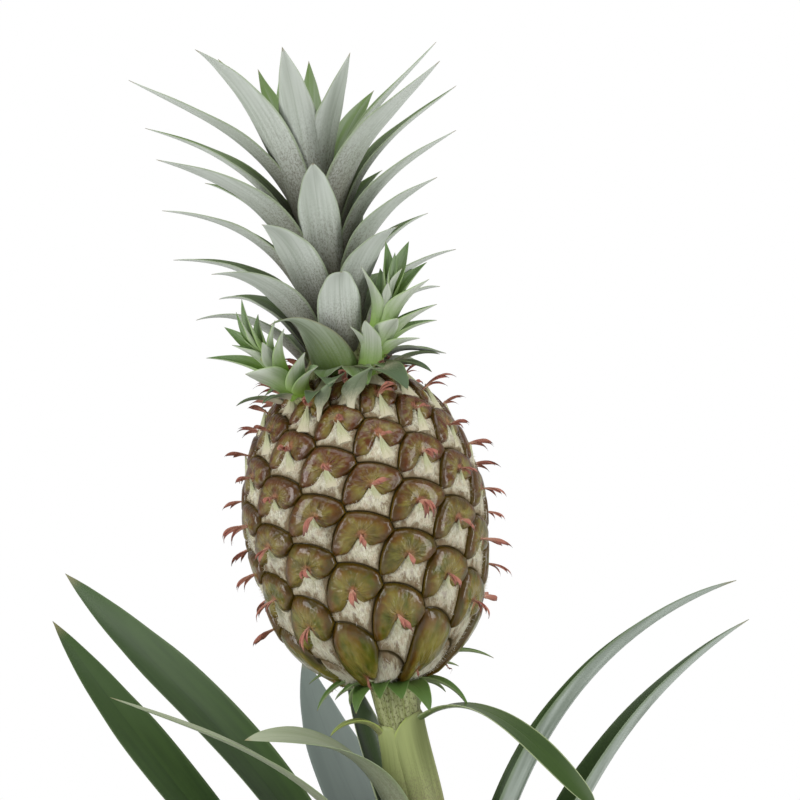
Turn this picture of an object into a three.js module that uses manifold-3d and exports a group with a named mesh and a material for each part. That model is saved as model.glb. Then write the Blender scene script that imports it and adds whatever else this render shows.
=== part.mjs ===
// A pineapple plant in a plain clay pot: millimetres, +Z up, origin in the middle of the pot's underside.
// The plant is a rosette of long leaves round a short trunk, whose stalk carries one small fruit under a
// leafy crown. The front, where azimuths start, faces -Y; azimuths grow towards +X, on the right.
import * as THREE from "three";
import { mergeVertices } from "three/addons/utils/BufferGeometryUtils.js";
import Module from "manifold-3d";

const wasm = await Module();
wasm.setup();

// Driving dimensions
const GAP = 0.3; // clearance between two pieces that touch
const SECTORS = 28; // flats round the pot and round the soil in it
const POT = { height: 120, rimRadius: 70, rimHeight: 24, rimStep: 4, baseRadius: 47, wall: 5, floor: 6, edge: 2 };
const DRAIN = { count: 4, radius: 5, ring: 26 };
const SOIL = { level: 106, mound: 3, crumb: 1.3, rings: 5 };
const TRUNK = { bottom: 72, radius: 12, shoulder: 125, top: 180 };
const STALK = { radius: 6.6, socket: 4 };
const HEAD = { base: [-12.8, 0, 303.7], lean: 9 }; // where the fruit sits, and its lean to the left in degrees
const FRUIT = { bottom: 0.8, top: 96 };
const EYES = { perWhorl: 7, first: -2, last: 12, turn: -21.3, frontTurn: -20, groove: 2.2, dome: 1 };
const EYE = { shoulder: 0.8, summit: 0.22, bractTip: -0.06, lowBract: 1.8, highBract: 2.8 }; // parts of an eye
const FLOWER = { first: 0, last: 9, length: 6, radius: 1 };
const ROSETTE = { leaves: 15, firstRoot: 109, pitch: 3.4, firstAzimuth: 38 };
const GOLDEN = 137.508; // turn from one leaf to the next, in degrees
const BLADE = 1.2; // thickness of the long leaves
const THIN_BLADE = 0.9; // thickness of the crown's leaves and of the bracts
const TROUGH = 0.12; // rise of a blade's edges over its rib, as a share of half its width

// Finishes
const CLAY = new THREE.MeshStandardMaterial({ color: 0xb4653f, roughness: 0.85, metalness: 0 });
const PEAT = new THREE.MeshStandardMaterial({ color: 0x33241a, roughness: 0.95, metalness: 0 });
const STEM_GREEN = new THREE.MeshStandardMaterial({ color: 0x93a066, roughness: 0.6, metalness: 0 });
const LEAF_GREEN = new THREE.MeshStandardMaterial({ color: 0x4c5f40, roughness: 0.5, metalness: 0 });
const PALE_GREEN = new THREE.MeshStandardMaterial({ color: 0x8fa06e, roughness: 0.55, metalness: 0 });
const CROWN_SILVER = new THREE.MeshStandardMaterial({ color: 0xa9b3a6, roughness: 0.6, metalness: 0 });
const FRUIT_OLIVE = new THREE.MeshStandardMaterial({ color: 0x79683c, roughness: 0.35, metalness: 0 });

const { degToRad: radians, radToDeg: degrees, lerp } = THREE.MathUtils;

// A repeatable draw from 0 to 1 for item i of series k
function draw(i, k) {
  const x = Math.sin(i * 127.1 + k * 311.7) * 43758.5453;
  return x - Math.floor(x);
}

// The value at x of a line through a few [x, value] knots
function through(knots, x) {
  const next = knots.findIndex(([at]) => at >= x);
  if (next === 0) return knots[0][1];
  if (next < 0) return knots[knots.length - 1][1];
  const [x0, y0] = knots[next - 1];
  const [x1, y1] = knots[next];
  return lerp(y0, y1, (x - x0) / (x1 - x0));
}

// Unit vector that points out at an azimuth
function outward(azimuth) {
  return new THREE.Vector3(Math.sin(radians(azimuth)), -Math.cos(radians(azimuth)), 0);
}

// Geometries and solids
function geometryOf(points, faces) {
  const geometry = new THREE.BufferGeometry();
  const flat = points.flatMap((p) => [p.x, p.y, p.z]);
  geometry.setAttribute("position", new THREE.Float32BufferAttribute(flat, 3));
  geometry.setIndex(faces.flat());
  return geometry;
}

function solidOf(geometry) {
  const bare = geometry.clone();
  bare.deleteAttribute("normal");
  bare.deleteAttribute("uv");
  const merged = mergeVertices(bare, 1e-4);
  const mesh = new wasm.Mesh({
    numProp: 3,
    vertProperties: merged.attributes.position.array,
    triVerts: new Uint32Array(merged.index.array),
  });
  return new wasm.Manifold(mesh);
}

function geometryFrom(solid) {
  const made = solid.getMesh();
  const geometry = new THREE.BufferGeometry();
  geometry.setAttribute("position", new THREE.BufferAttribute(made.vertProperties, 3));
  geometry.setIndex(new THREE.BufferAttribute(made.triVerts, 1));
  return geometry;
}

function fused(geometries) {
  return geometries.map(solidOf).reduce((whole, piece) => whole.add(piece));
}

// The largest body of a solid: the scraps that a join leaves loose are dropped
function mainBody(solid) {
  return solid.decompose().reduce((a, b) => (a.volume() > b.volume() ? a : b));
}

// A cylinder or cone that stands on z = bottom
function uprightCylinder(bottomRadius, topRadius, bottom, top, sides) {
  const cylinder = new THREE.CylinderGeometry(topRadius, bottomRadius, top - bottom, sides);
  return cylinder.rotateX(Math.PI / 2).translate(0, 0, (bottom + top) / 2);
}

// Quads between two rings of the same count
function ringQuads(a, b, count, faces) {
  for (let k = 0; k < count; k += 1) {
    const next = (k + 1) % count;
    faces.push([a + k, a + next, b + next], [a + k, b + next, b + k]);
  }
}

// Leaves. A leaf's midrib is a flat curve of distance from the plant's axis and height. Its blade lies on the
// surface that this curve sweeps round the axis, so its base clasps what it grows from and the leaves of one
// rosette nest. Angles are elevations; the pulls say how far the curve keeps to them.
function midribOf({ foot, root, reach, top, rootAngle, tipAngle, rootPull = 0.45, tipPull = 0.35 }) {
  const start = new THREE.Vector2(foot, root);
  const end = new THREE.Vector2(reach, top);
  const span = start.distanceTo(end);
  const bend = (from, angle, length) => new THREE.Vector2(
    from.x + length * Math.cos(radians(angle)),
    from.y + length * Math.sin(radians(angle)),
  );
  return new THREE.CubicBezierCurve(
    start,
    bend(start, rootAngle, rootPull * span),
    bend(end, tipAngle, -tipPull * span),
    end,
  );
}

const WRAP_LIMIT = 60; // half of the angle that a leaf's base may clasp

// The blade has three lines of points on each face: two edges, raised into a trough, and the rib. Both faces
// are split alike, and the last section is the tip, one point. Sway bends the leaf sideways, roll turns it.
function bladeGeometry({ azimuth, midrib, width, outline, thickness, sections, sway = 0, roll = 0 }) {
  const points = [];
  for (let j = 0; j <= sections; j += 1) {
    const t = j / sections;
    const rib = midrib.getPointAt(t);
    const along = midrib.getTangentAt(t);
    const half = 0.5 * width * through(outline, t);
    const turned = radians(roll * t * t);
    const swing = Math.min(degrees((half * Math.cos(turned)) / rib.x), WRAP_LIMIT);
    const at = (s, depth) => {
      const lift = Math.abs(s) * half * TROUGH + s * half * Math.sin(turned) - depth;
      const place = outward(azimuth + sway * t * t + s * swing);
      return place.multiplyScalar(rib.x - along.y * lift).setZ(rib.y + along.x * lift);
    };
    const thick = thickness * (1 - 0.3 * t);
    if (j === sections) points.push(at(0, thick / 2));
    else points.push(at(-1, thick), at(0, thick), at(1, thick), at(1, 0), at(0, 0), at(-1, 0));
  }
  const faces = [];
  for (let j = 0; j + 1 < sections; j += 1) {
    const a = 6 * j;
    const b = a + 6;
    for (const [s, e] of [[0, 1], [1, 2], [2, 3], [5, 0]]) {
      faces.push([a + s, a + e, b + e], [a + s, b + e, b + s]);
    }
    for (const [s, e] of [[3, 4], [4, 5]]) {
      faces.push([a + s, a + e, b + s], [a + e, b + e, b + s]);
    }
  }
  const last = 6 * (sections - 1);
  for (let k = 0; k < 6; k += 1) faces.push([last + k, last + ((k + 1) % 6), last + 6]);
  faces.push([1, 0, 5], [1, 5, 4], [2, 1, 4], [2, 4, 3]);
  return geometryOf(points, faces);
}

// Pot: a turned shell with a rim band, and drain holes round a solid middle
const potRimBottom = POT.height - POT.rimHeight;
const potBodyTop = POT.rimRadius - POT.rimStep;
const POT_INSIDE = [
  [POT.floor, POT.baseRadius - POT.wall - 3],
  [POT.floor + 3, POT.baseRadius - POT.wall],
  [potRimBottom - 4, potBodyTop - POT.wall],
  [POT.height - POT.edge, POT.rimRadius - POT.wall - 1],
];

function potGeometry() {
  const { edge } = POT;
  const outline = new THREE.Path();
  outline.moveTo(0, 0);
  outline.lineTo(POT.baseRadius - edge, 0);
  outline.lineTo(POT.baseRadius, edge);
  outline.lineTo(potBodyTop, potRimBottom - edge);
  outline.lineTo(POT.rimRadius, potRimBottom + 1);
  outline.lineTo(POT.rimRadius, POT.height - edge);
  outline.absarc(POT.rimRadius - edge, POT.height - edge, edge, 0, Math.PI / 2, false);
  outline.lineTo(POT.rimRadius - POT.wall, POT.height);
  for (const [z, radius] of [...POT_INSIDE].reverse()) outline.lineTo(radius, z);
  outline.lineTo(0, POT.floor);
  const shell = solidOf(new THREE.LatheGeometry(outline.getPoints(2), SECTORS).rotateX(Math.PI / 2));
  const holes = [];
  for (let k = 0; k < DRAIN.count; k += 1) {
    const at = outward((360 * (k + 0.5)) / DRAIN.count).multiplyScalar(DRAIN.ring);
    const hole = uprightCylinder(DRAIN.radius, DRAIN.radius, -POT.floor, 2 * POT.floor, 12);
    holes.push(hole.translate(at.x, at.y, 0));
  }
  return geometryFrom(shell.subtract(fused(holes)));
}

// Soil: fills the pot, crumbly on top, with a plain hole for the trunk
function soilGeometry() {
  const bottom = POT.floor + GAP;
  const points = [new THREE.Vector3(0, 0, bottom)];
  const faces = [];
  const addRing = (radius, heightAt) => {
    for (let k = 0; k < SECTORS; k += 1) {
      points.push(outward((360 * k) / SECTORS).multiplyScalar(radius).setZ(heightAt(k)));
    }
    return points.length - SECTORS;
  };
  const walls = [bottom, POT.floor + 3 + GAP, potRimBottom - 4];
  const rings = walls.map((z) => addRing(through(POT_INSIDE, z) - 2 * GAP, () => z));
  const edge = through(POT_INSIDE, SOIL.level - SOIL.crumb) - 2 * GAP;
  for (let n = 0; n < SOIL.rings; n += 1) {
    const radius = edge * (1 - n / SOIL.rings);
    const mound = SOIL.mound * (1 - radius / edge);
    rings.push(addRing(radius, (k) => SOIL.level + mound - SOIL.crumb * draw(k + SECTORS * n, 1)));
  }
  points.push(new THREE.Vector3(0, 0, SOIL.level + SOIL.mound));
  const first = rings[0];
  const last = rings[rings.length - 1];
  for (let k = 0; k < SECTORS; k += 1) {
    const next = (k + 1) % SECTORS;
    faces.push([0, first + next, first + k], [last + k, last + next, points.length - 1]);
  }
  rings.slice(1).forEach((ring, n) => ringQuads(rings[n], ring, SECTORS, faces));
  const hole = uprightCylinder(TRUNK.radius + GAP, TRUNK.radius + GAP, TRUNK.bottom - GAP, 2 * SOIL.level, 16);
  return geometryFrom(solidOf(geometryOf(points, faces)).subtract(solidOf(hole)));
}

// Head: fruit and crown share one leaning frame
const head = new THREE.Group();
head.position.set(...HEAD.base);
head.rotation.y = -radians(HEAD.lean);
head.updateMatrix();

// Stem: the short trunk and the stalk in one, upright, then bent under the fruit's weight
const stemTop = new THREE.Vector3(0, 0, STALK.socket - GAP).applyMatrix4(head.matrix);
const stemLine = new THREE.CatmullRomCurve3([
  new THREE.Vector3(0, 0, TRUNK.bottom),
  new THREE.Vector3(0, 0, 160),
  new THREE.Vector3(0, 0, 225),
  new THREE.Vector3(-5.2, 0, 275),
  new THREE.Vector3(HEAD.base[0] + 1.4, 0, HEAD.base[2] - 9.5),
  stemTop,
], false, "centripetal");

function stemRadius(z) {
  return through([
    [TRUNK.bottom, TRUNK.radius - 2],
    [TRUNK.bottom + 10, TRUNK.radius],
    [TRUNK.shoulder, TRUNK.radius],
    [TRUNK.top, STALK.radius + 1],
    [TRUNK.top + 40, STALK.radius],
  ], z);
}

function stemGeometry() {
  const sides = 12;
  const steps = 16;
  const points = [];
  const faces = [];
  for (let j = 0; j <= steps; j += 1) {
    const centre = stemLine.getPointAt(j / steps);
    const along = stemLine.getTangentAt(j / steps);
    const right = new THREE.Vector3(along.z, 0, -along.x).normalize();
    for (let k = 0; k < sides; k += 1) {
      const turn = (2 * Math.PI * k) / sides;
      const radius = stemRadius(centre.z);
      const point = centre.clone().addScaledVector(right, radius * Math.cos(turn));
      points.push(point.setY(radius * Math.sin(turn)));
    }
    if (j > 0) ringQuads(sides * (j - 1), sides * j, sides, faces);
  }
  points.push(stemLine.getPointAt(0), stemLine.getPointAt(1));
  const top = sides * steps;
  for (let k = 0; k < sides; k += 1) {
    const next = (k + 1) % sides;
    faces.push([next, k, points.length - 2], [top + k, top + next, points.length - 1]);
  }
  return geometryOf(points, faces);
}

// The stem's centre at a height
function stemAt(z) {
  let low = 0;
  let high = 1;
  for (let n = 0; n < 24; n += 1) {
    const middle = (low + high) / 2;
    if (stemLine.getPointAt(middle).z < z) low = middle;
    else high = middle;
  }
  return stemLine.getPointAt(low);
}

// Collar: small bracts under the fruit, grown from the top of the stalk, that reach out and hang.
// Each is [azimuth, reach, tip height, width] in the head's frame.
const COLLAR = [
  [-97, 25.6, -8.2, 6], [-124, 31, 1.2, 4], [-32, 20, -9.7, 8], [9, 20, -8.9, 9], [33, 19, -12.7, 7],
  [66, 26, -15.4, 6], [102, 34, -0.1, 6], [52, 28, -0.3, 6], [140, 23, -11, 7], [176, 21, -12, 8],
  [-150, 22, -12, 8], [-64, 20, -10, 6],
];
const BRACT_OUTLINE = [[0, 0.85], [0.35, 1], [0.7, 0.6], [1, 0]];

function collarBracts() {
  return COLLAR.map(([azimuth, reach, top, width], i) => {
    const midrib = midribOf({
      foot: STALK.radius - 1.5, root: -1.8 - 0.4 * i, reach, top, rootAngle: 0, tipAngle: top < -5 ? -68 : -12,
    });
    const bract = { azimuth, midrib, width, outline: BRACT_OUTLINE, thickness: THIN_BLADE };
    return bladeGeometry({ ...bract, sections: 4 }).applyMatrix4(head.matrix);
  });
}

// Long leaves of the rosette. The lower ones follow a rule: they arch out on all sides. The inner ones stand
// tall; each of those is [azimuth, root, reach, top, root angle, tip angle, width, roll].
const LONG_OUTLINE = [[0, 0.58], [0.3, 0.85], [0.5, 1], [0.68, 0.92], [0.84, 0.6], [0.94, 0.28], [1, 0]];
const TALL_LEAVES = [
  [-111.6, 160, 134.4, 318, 59, 52, 21, -55],
  [112, 160, 114, 319, 78, 26, 17, 0],
  [-123.5, 172, 148, 332.4, 72, 39, 21, -45],
  [100, 172, 101, 333, 86, 18, 16, 0],
  [-154, 186, 97, 304, 78, 62, 25, 0],
];

function longLeaves() {
  const leaves = [];
  for (let i = 0; i < ROSETTE.leaves; i += 1) {
    const share = i / (ROSETTE.leaves - 1);
    leaves.push({
      azimuth: ROSETTE.firstAzimuth + i * GOLDEN,
      root: ROSETTE.firstRoot + ROSETTE.pitch * i,
      reach: lerp(190, 160, share) + 14 * (draw(i, 2) - 0.5),
      top: lerp(140, 236, share) + 10 * (draw(i, 3) - 0.5),
      rootAngle: lerp(58, 70, share),
      tipAngle: lerp(-30, 4, share),
      width: lerp(22, 25, share),
      roll: 0,
      sway: 16 * (draw(i, 4) - 0.5),
    });
  }
  for (const [azimuth, root, reach, top, rootAngle, tipAngle, width, roll] of TALL_LEAVES) {
    leaves.push({ azimuth, root, reach, top, rootAngle, tipAngle, width, roll, sway: 0 });
  }
  return leaves;
}

// Leaves of the stalk, short and narrow, in the same order of values and with the root's pull at the end
const STALK_OUTLINE = [[0, 0.8], [0.3, 1], [0.6, 0.85], [0.85, 0.42], [1, 0]];
const STALK_LEAVES = [
  [18, 206, 66, 250, 72, -10, 14, 0, 0.45],
  [-170, 214, 60, 262, 72, -6, 14, 0, 0.45],
  [-66, 222, 102, 297, 66, 20, 10, 0, 0.45],
  [-128, 238, 33, 302, 70, 67, 12, 0, 0.45],
  [-62, 250, 63, 285, 78, -8, 14, -40, 0.5],
  [62, 264, 70, 264, 86, -38, 11, 0, 0.92],
  [-82, 270, 27, 284, 78, -50, 8, 0, 0.7],
];

// A leaf that grows from the stem, with its foot close round it
function stemLeaf(leaf, outline, thickness, sections) {
  const centre = stemAt(leaf.root);
  const raised = 0.5 * leaf.width * outline[0][1] * TROUGH;
  const midrib = midribOf({ ...leaf, foot: stemRadius(leaf.root) + raised + GAP });
  const geometry = bladeGeometry({ ...leaf, midrib, outline, thickness, sections });
  return geometry.translate(centre.x, centre.y, 0);
}

// Fruit. Its outline runs from under the cut at the bottom to above the cut at the top.
const fruitOutline = new THREE.SplineCurve([
  [10, -24], [10, -4], [17, 1.3], [25, 7.6], [32, 17.6], [35.4, 31], [37.8, 48], [37.2, 60], [34.4, 72],
  [29.6, 82], [23, 90], [16, 95.2], [12.5, 100], [11.5, 112], [11.5, 128],
].map(([radius, z]) => new THREE.Vector2(radius, z)));
fruitOutline.arcLengthDivisions = 400;
const outlineLength = fruitOutline.getLength();

// Place of a whorl along the outline: the lowest eyes are the tallest
const WHORLS = { first: 39.5, pitch: 7.3, extra: 9.6, fade: 1.3 };
function whorlPlace(whorl) {
  const { first, pitch, extra, fade } = WHORLS;
  const stretch = whorl < 0 ? extra * whorl : extra * fade * (1 - Math.exp(-whorl / fade));
  return Math.min(Math.max((first + pitch * whorl + stretch) / outlineLength, 0), 1);
}

// A point of the fruit's skin: azimuth, whorl, and height over the outline
function skinPoint(azimuth, whorl, height) {
  const at = whorlPlace(whorl);
  const point = fruitOutline.getPointAt(at);
  const along = fruitOutline.getTangentAt(at);
  return outward(azimuth).multiplyScalar(point.x + along.y * height).setZ(point.y - along.x * height);
}

// The eyes tile the skin as six-sided cells. Two corners and three edges belong to each cell, and its
// neighbours' give the rest. Steps to the neighbours and places of the corners are [degrees, whorls].
const STEP = 360 / EYES.perWhorl;
const LEFT_UP = [EYES.turn, 1];
const RIGHT_UP = [EYES.turn + STEP, 1];
const ABOVE = [2 * EYES.turn + STEP, 2];
const CORNER_A = [14.6, 0.55];
const CORNER_B = [-5.4, 1.12];
const plus = (a, b, sign = 1) => [a[0] + sign * b[0], a[1] + sign * b[1]];
const between = (a, b, share) => [lerp(a[0], b[0], share), lerp(a[1], b[1], share)];

// The border of an eye, anticlockwise from its upper right corner; four of its edges bow at the middle
function eyeBorder(centre) {
  const a = CORNER_A;
  const b = CORNER_B;
  const corners = [a, b, plus(a, RIGHT_UP, -1), plus(b, ABOVE, -1), plus(a, ABOVE, -1), plus(b, LEFT_UP, -1)];
  const bows = [[0, 0.16], [-1.4, 0.14], null, [0, 0.16], [-1.4, 0.14], null];
  return corners.flatMap((corner, n) => {
    const from = plus(centre, corner);
    if (!bows[n]) return [from];
    return [from, plus(plus(centre, between(corner, corners[(n + 1) % 6], 0.5)), bows[n])];
  });
}

// One eye: a groove round it, a dome, a bract that rises over the lower edge to a raised tip at the middle, and
// above that tip the dry remnant of the flower, a thin spindle
function addEye(k, j, points, faces) {
  const centre = [EYES.frontTurn + STEP * k + EYES.turn * j, j];
  const add = ([azimuth, whorl], height) => points.push(skinPoint(azimuth, whorl, height)) - 1;
  const border = eyeBorder(centre);
  const count = border.length;
  const groove = border.map((place) => add(place, -EYES.groove));
  const shoulder = border.map((place) => add(between(centre, place, EYE.shoulder), 0));
  for (let n = 0; n < count; n += 1) {
    const next = (n + 1) % count;
    faces.push([groove[n], groove[next], shoulder[next]], [groove[n], shoulder[next], shoulder[n]]);
  }
  const bractTip = add(plus(centre, [0, EYE.bractTip]), lerp(EYE.lowBract, EYE.highBract, j / EYES.last));
  const [left, middle, right] = [5, 6, 7];
  faces.push([shoulder[left], shoulder[middle], bractTip], [shoulder[middle], shoulder[right], bractTip]);
  const rim = [7, 8, 9, 0, 1, 2, 3, 4, 5].map((n) => shoulder[n]);
  rim.push(bractTip);
  if (j < FLOWER.first || j > FLOWER.last) {
    const dome = add(plus(centre, [0, EYE.summit]), EYES.dome);
    rim.forEach((point, n) => faces.push([point, rim[(n + 1) % rim.length], dome]));
    return;
  }
  const seed = k + EYES.perWhorl * j;
  const lean = [8 * (draw(seed, 5) - 0.5), 0.5 * (draw(seed, 6) - 0.4)];
  const ring = (share, height, radius) => [30, 150, 270].map((turn) => {
    const spot = [radius * 1.7 * Math.cos(radians(turn)), (radius / 7.5) * Math.sin(radians(turn))];
    return add(plus(plus(centre, [lean[0] * share, lean[1] * share + EYE.summit]), spot), height);
  });
  const foot = ring(0, EYES.dome, FLOWER.radius);
  const nearest = [0, 0, 0, 0, 0, 1, 1, 1, 2, 2];
  rim.forEach((point, n) => {
    const next = (n + 1) % rim.length;
    faces.push([point, rim[next], foot[nearest[n]]]);
    if (nearest[n] !== nearest[next]) faces.push([rim[next], foot[nearest[next]], foot[nearest[n]]]);
  });
  const waist = ring(0.6, EYES.dome + 0.6 * FLOWER.length, FLOWER.radius);
  const tip = add(plus(centre, [lean[0], lean[1] + EYE.summit]), EYES.dome + FLOWER.length);
  for (let n = 0; n < 3; n += 1) {
    const next = (n + 1) % 3;
    faces.push([foot[n], foot[next], waist[next]], [foot[n], waist[next], waist[n]]);
    faces.push([waist[n], waist[next], tip]);
  }
}

// Closes the open rims of the skin with fans to a point below and a point above, well past both cuts
const FAN = { below: -60, above: 170 };
function closedSkin(skin) {
  const position = skin.attributes.position;
  const index = [...skin.index.array];
  const points = [];
  const faces = [];
  for (let n = 0; n < position.count; n += 1) {
    points.push(new THREE.Vector3().fromBufferAttribute(position, n));
  }
  const open = new Map();
  for (let f = 0; f < index.length; f += 3) {
    const face = index.slice(f, f + 3);
    faces.push(face);
    face.forEach((from, e) => {
      const to = face[(e + 1) % 3];
      if (!open.delete(`${to} ${from}`)) open.set(`${from} ${to}`, [from, to]);
    });
  }
  const below = points.push(new THREE.Vector3(0, 0, FAN.below)) - 1;
  const above = points.push(new THREE.Vector3(0, 0, FAN.above)) - 1;
  for (const [from, to] of open.values()) faces.push([to, from, points[from].z < FRUIT.top / 2 ? below : above]);
  return geometryOf(points, faces);
}

const CUT = 200; // side of the blocks that cut the skin flat

function fruitGeometry() {
  const points = [];
  const faces = [];
  for (let j = EYES.first; j <= EYES.last; j += 1) {
    for (let k = 0; k < EYES.perWhorl; k += 1) addEye(k, j, points, faces);
  }
  const skin = solidOf(closedSkin(mergeVertices(geometryOf(points, faces), 0.01)));
  const block = new THREE.BoxGeometry(CUT, CUT, CUT);
  const lowCut = block.clone().translate(0, 0, FRUIT.bottom - CUT / 2);
  const highCut = block.clone().translate(0, 0, FRUIT.top + CUT / 2);
  const socket = uprightCylinder(STALK.radius + GAP, STALK.radius + GAP, -20, STALK.socket, 16);
  const cut = skin.subtract(solidOf(lowCut)).subtract(solidOf(highCut)).subtract(solidOf(socket));
  return geometryFrom(mainBody(cut));
}

// Crown: leaves round a short core. The first ones are those of the front and the sides, the others stand
// behind. Each is [azimuth, root, reach, top] in the crown's frame; the rest follows from the root's height.
const CROWN_LEAVES = [
  [-70, 0.6, 22, 3], [-14, 0.6, 22, 5], [16, 0.8, 23, 1.5], [46, 0.6, 22, 4], [84, 1.5, 34, 2.3],
  [112, 0.8, 29, -0.6], [-38, 1.5, 31.6, 19.4], [-86, 4, 43.6, 25.2], [9, 5, 33, 32.1], [120, 6, 41, 24.3],
  [-122, 7, 42.7, 31.5], [-50, 9, 46, 37.9], [94, 10, 42.3, 34.8], [-108, 13, 51, 46.1],
  [42, 14, 37, 43.7], [-29, 16, 35.6, 50.7], [116, 18, 39.3, 48.3], [-92, 21, 49, 61.7], [66, 23, 43.2, 57.5],
  [3, 25, 30, 67.3], [-128, 27, 44.4, 69.8], [-60, 29, 54, 76.2], [80, 31, 48.6, 71.8], [128, 32, 29, 64.4],
  [-103, 35, 52, 89.4], [108, 37, 53.4, 87.6], [-46, 40, 40.8, 108.3], [52, 40, 57.9, 92.2],
  [-82, 44, 53, 103.9], [-4, 45, 32, 104.5], [98, 46, 46.8, 101.8], [-130, 50, 31.6, 108.6],
  [42, 50, 27.6, 100.4], [168, 56, 23.2, 103.6], [-152, 57, 25.4, 103.5], [-95, 60, 13, 95.4],
  [175, 2, 36, 14], [-150, 3, 36, 16], [150, 8, 40, 32], [-165, 13, 41, 42], [160, 19, 42, 54],
  [-155, 24, 42, 64], [-178, 31, 44, 78], [148, 38, 46, 92], [-172, 44, 40, 102], [75, 60, 13, 92],
];
const CROWN_OUTLINE = [[0, 0.3], [0.3, 0.95], [0.45, 1], [0.75, 0.6], [0.92, 0.2], [1, 0]];
const CROWN_WIDTH = [[0, 12], [5, 15.5], [40, 15.5], [50, 13.5], [60, 9]];
const CROWN_ROOT_ANGLE = [[0, 45], [6, 66], [20, 76], [44, 80], [60, 84]];
const CROWN_TIP_ANGLE = [[0, -28], [4, -10], [12, 6], [22, 14], [35, 24], [45, 36], [52, 58], [60, 80]];

const CORE_OUTLINE = [[0, 14], [6, 12], [20, 9.5], [64, 4]];

function crownLeaf([azimuth, root, reach, top]) {
  const midrib = midribOf({
    foot: through(CORE_OUTLINE, root) - 2.5, root, reach, top,
    rootAngle: through(CROWN_ROOT_ANGLE, root), tipAngle: through(CROWN_TIP_ANGLE, root),
  });
  return bladeGeometry({
    azimuth, midrib, width: through(CROWN_WIDTH, root), outline: CROWN_OUTLINE, thickness: THIN_BLADE,
    sections: 5,
  });
}

// Slips: two small crowns that sit in front at the foot of the big one and lean outwards
const SLIPS = [
  { azimuth: 40, from: 15.6, root: 3, leanTo: 68, lean: 24, size: 39, leaves: 9 },
  { azimuth: -58, from: 19, root: 3, leanTo: -76, lean: 34, size: 27, leaves: 8 },
];

function slipGeometries({ azimuth, from, root, leanTo, lean, size, leaves }) {
  const core = uprightCylinder(0.1 * size, 0.05 * size, 0, 0.4 * size, 8);
  const made = [core];
  for (let i = 0; i < leaves; i += 1) {
    const share = i / (leaves - 1);
    const midrib = midribOf({
      foot: 0.05 * size, root: size * (0.02 + 0.24 * share),
      reach: size * lerp(0.38, 0.1, share), top: size * lerp(0.36, 1, share),
      rootAngle: lerp(56, 84, share), tipAngle: lerp(4, 76, share),
    });
    made.push(bladeGeometry({
      azimuth: azimuth + 12 + i * GOLDEN, midrib, width: size * lerp(0.3, 0.2, share), outline: CROWN_OUTLINE,
      thickness: THIN_BLADE, sections: 4,
    }));
  }
  const place = outward(azimuth).multiplyScalar(from).setZ(root);
  const tilt = new THREE.Quaternion().setFromUnitVectors(
    new THREE.Vector3(0, 0, 1),
    outward(leanTo).multiplyScalar(Math.sin(radians(lean))).setZ(Math.cos(radians(lean))),
  );
  const branch = uprightCylinder(0.1 * size, 0.1 * size, 0, from, 8).rotateX(Math.PI / 2);
  branch.rotateZ(radians(azimuth)).translate(0, 0, root + 0.1 * size);
  return [branch, ...made.map((piece) => piece.applyQuaternion(tilt).translate(place.x, place.y, place.z))];
}

function crownGeometry() {
  const outline = [[0, 0], ...CORE_OUTLINE, [CORE_OUTLINE[CORE_OUTLINE.length - 1][0], 0]];
  const core = new THREE.LatheGeometry(outline.map(([z, radius]) => new THREE.Vector2(radius, z)), 12);
  core.rotateX(Math.PI / 2);
  return geometryFrom(mainBody(fused([core, ...CROWN_LEAVES.map(crownLeaf), ...SLIPS.flatMap(slipGeometries)])));
}

// Assembly
const plant = new THREE.Group();

function addPiece(name, geometry, material, parent = plant) {
  const mesh = new THREE.Mesh(geometry, material);
  mesh.name = name;
  parent.add(mesh);
  return mesh;
}

addPiece("pot", potGeometry(), CLAY);
addPiece("soil", soilGeometry(), PEAT);
addPiece("stem", geometryFrom(fused([stemGeometry(), ...collarBracts()])), STEM_GREEN);
longLeaves().forEach((leaf, i) => {
  addPiece(`leaf_${i + 1}`, stemLeaf(leaf, LONG_OUTLINE, BLADE, 9), LEAF_GREEN);
});
STALK_LEAVES.forEach(([azimuth, root, reach, top, rootAngle, tipAngle, width, roll, rootPull], i) => {
  const leaf = { azimuth, root, reach, top, rootAngle, tipAngle, width, roll, rootPull };
  addPiece(`stalk_leaf_${i + 1}`, stemLeaf(leaf, STALK_OUTLINE, THIN_BLADE, 7), PALE_GREEN);
});
plant.add(head);
addPiece("fruit", fruitGeometry(), FRUIT_OLIVE, head);
addPiece("crown", crownGeometry(), CROWN_SILVER, head).position.z = FRUIT.top + GAP;

export default plant;
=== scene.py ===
"""Dresses the solids of a potted pineapple plant: the crown, the fruit with its eyes, the stalk, the long leaves,
the soil and the clay pot. Lengths in the tables are millimetres, angles degrees, and azimuths start in front."""
import math
from functools import partial

import bpy
import numpy as np
from mathutils import Matrix, Vector


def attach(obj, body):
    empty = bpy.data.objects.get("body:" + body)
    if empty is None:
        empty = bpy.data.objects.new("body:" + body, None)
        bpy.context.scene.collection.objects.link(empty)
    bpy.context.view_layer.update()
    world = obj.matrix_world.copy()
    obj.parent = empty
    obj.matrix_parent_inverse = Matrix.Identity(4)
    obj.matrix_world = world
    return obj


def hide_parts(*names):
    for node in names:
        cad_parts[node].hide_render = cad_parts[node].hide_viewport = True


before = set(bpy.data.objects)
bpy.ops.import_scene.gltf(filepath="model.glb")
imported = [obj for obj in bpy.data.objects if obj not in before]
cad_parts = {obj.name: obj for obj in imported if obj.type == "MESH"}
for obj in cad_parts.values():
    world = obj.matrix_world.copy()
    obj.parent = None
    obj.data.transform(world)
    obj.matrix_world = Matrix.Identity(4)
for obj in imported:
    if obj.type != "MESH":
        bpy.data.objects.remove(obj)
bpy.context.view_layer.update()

DEGREE = math.pi / 180
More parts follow.
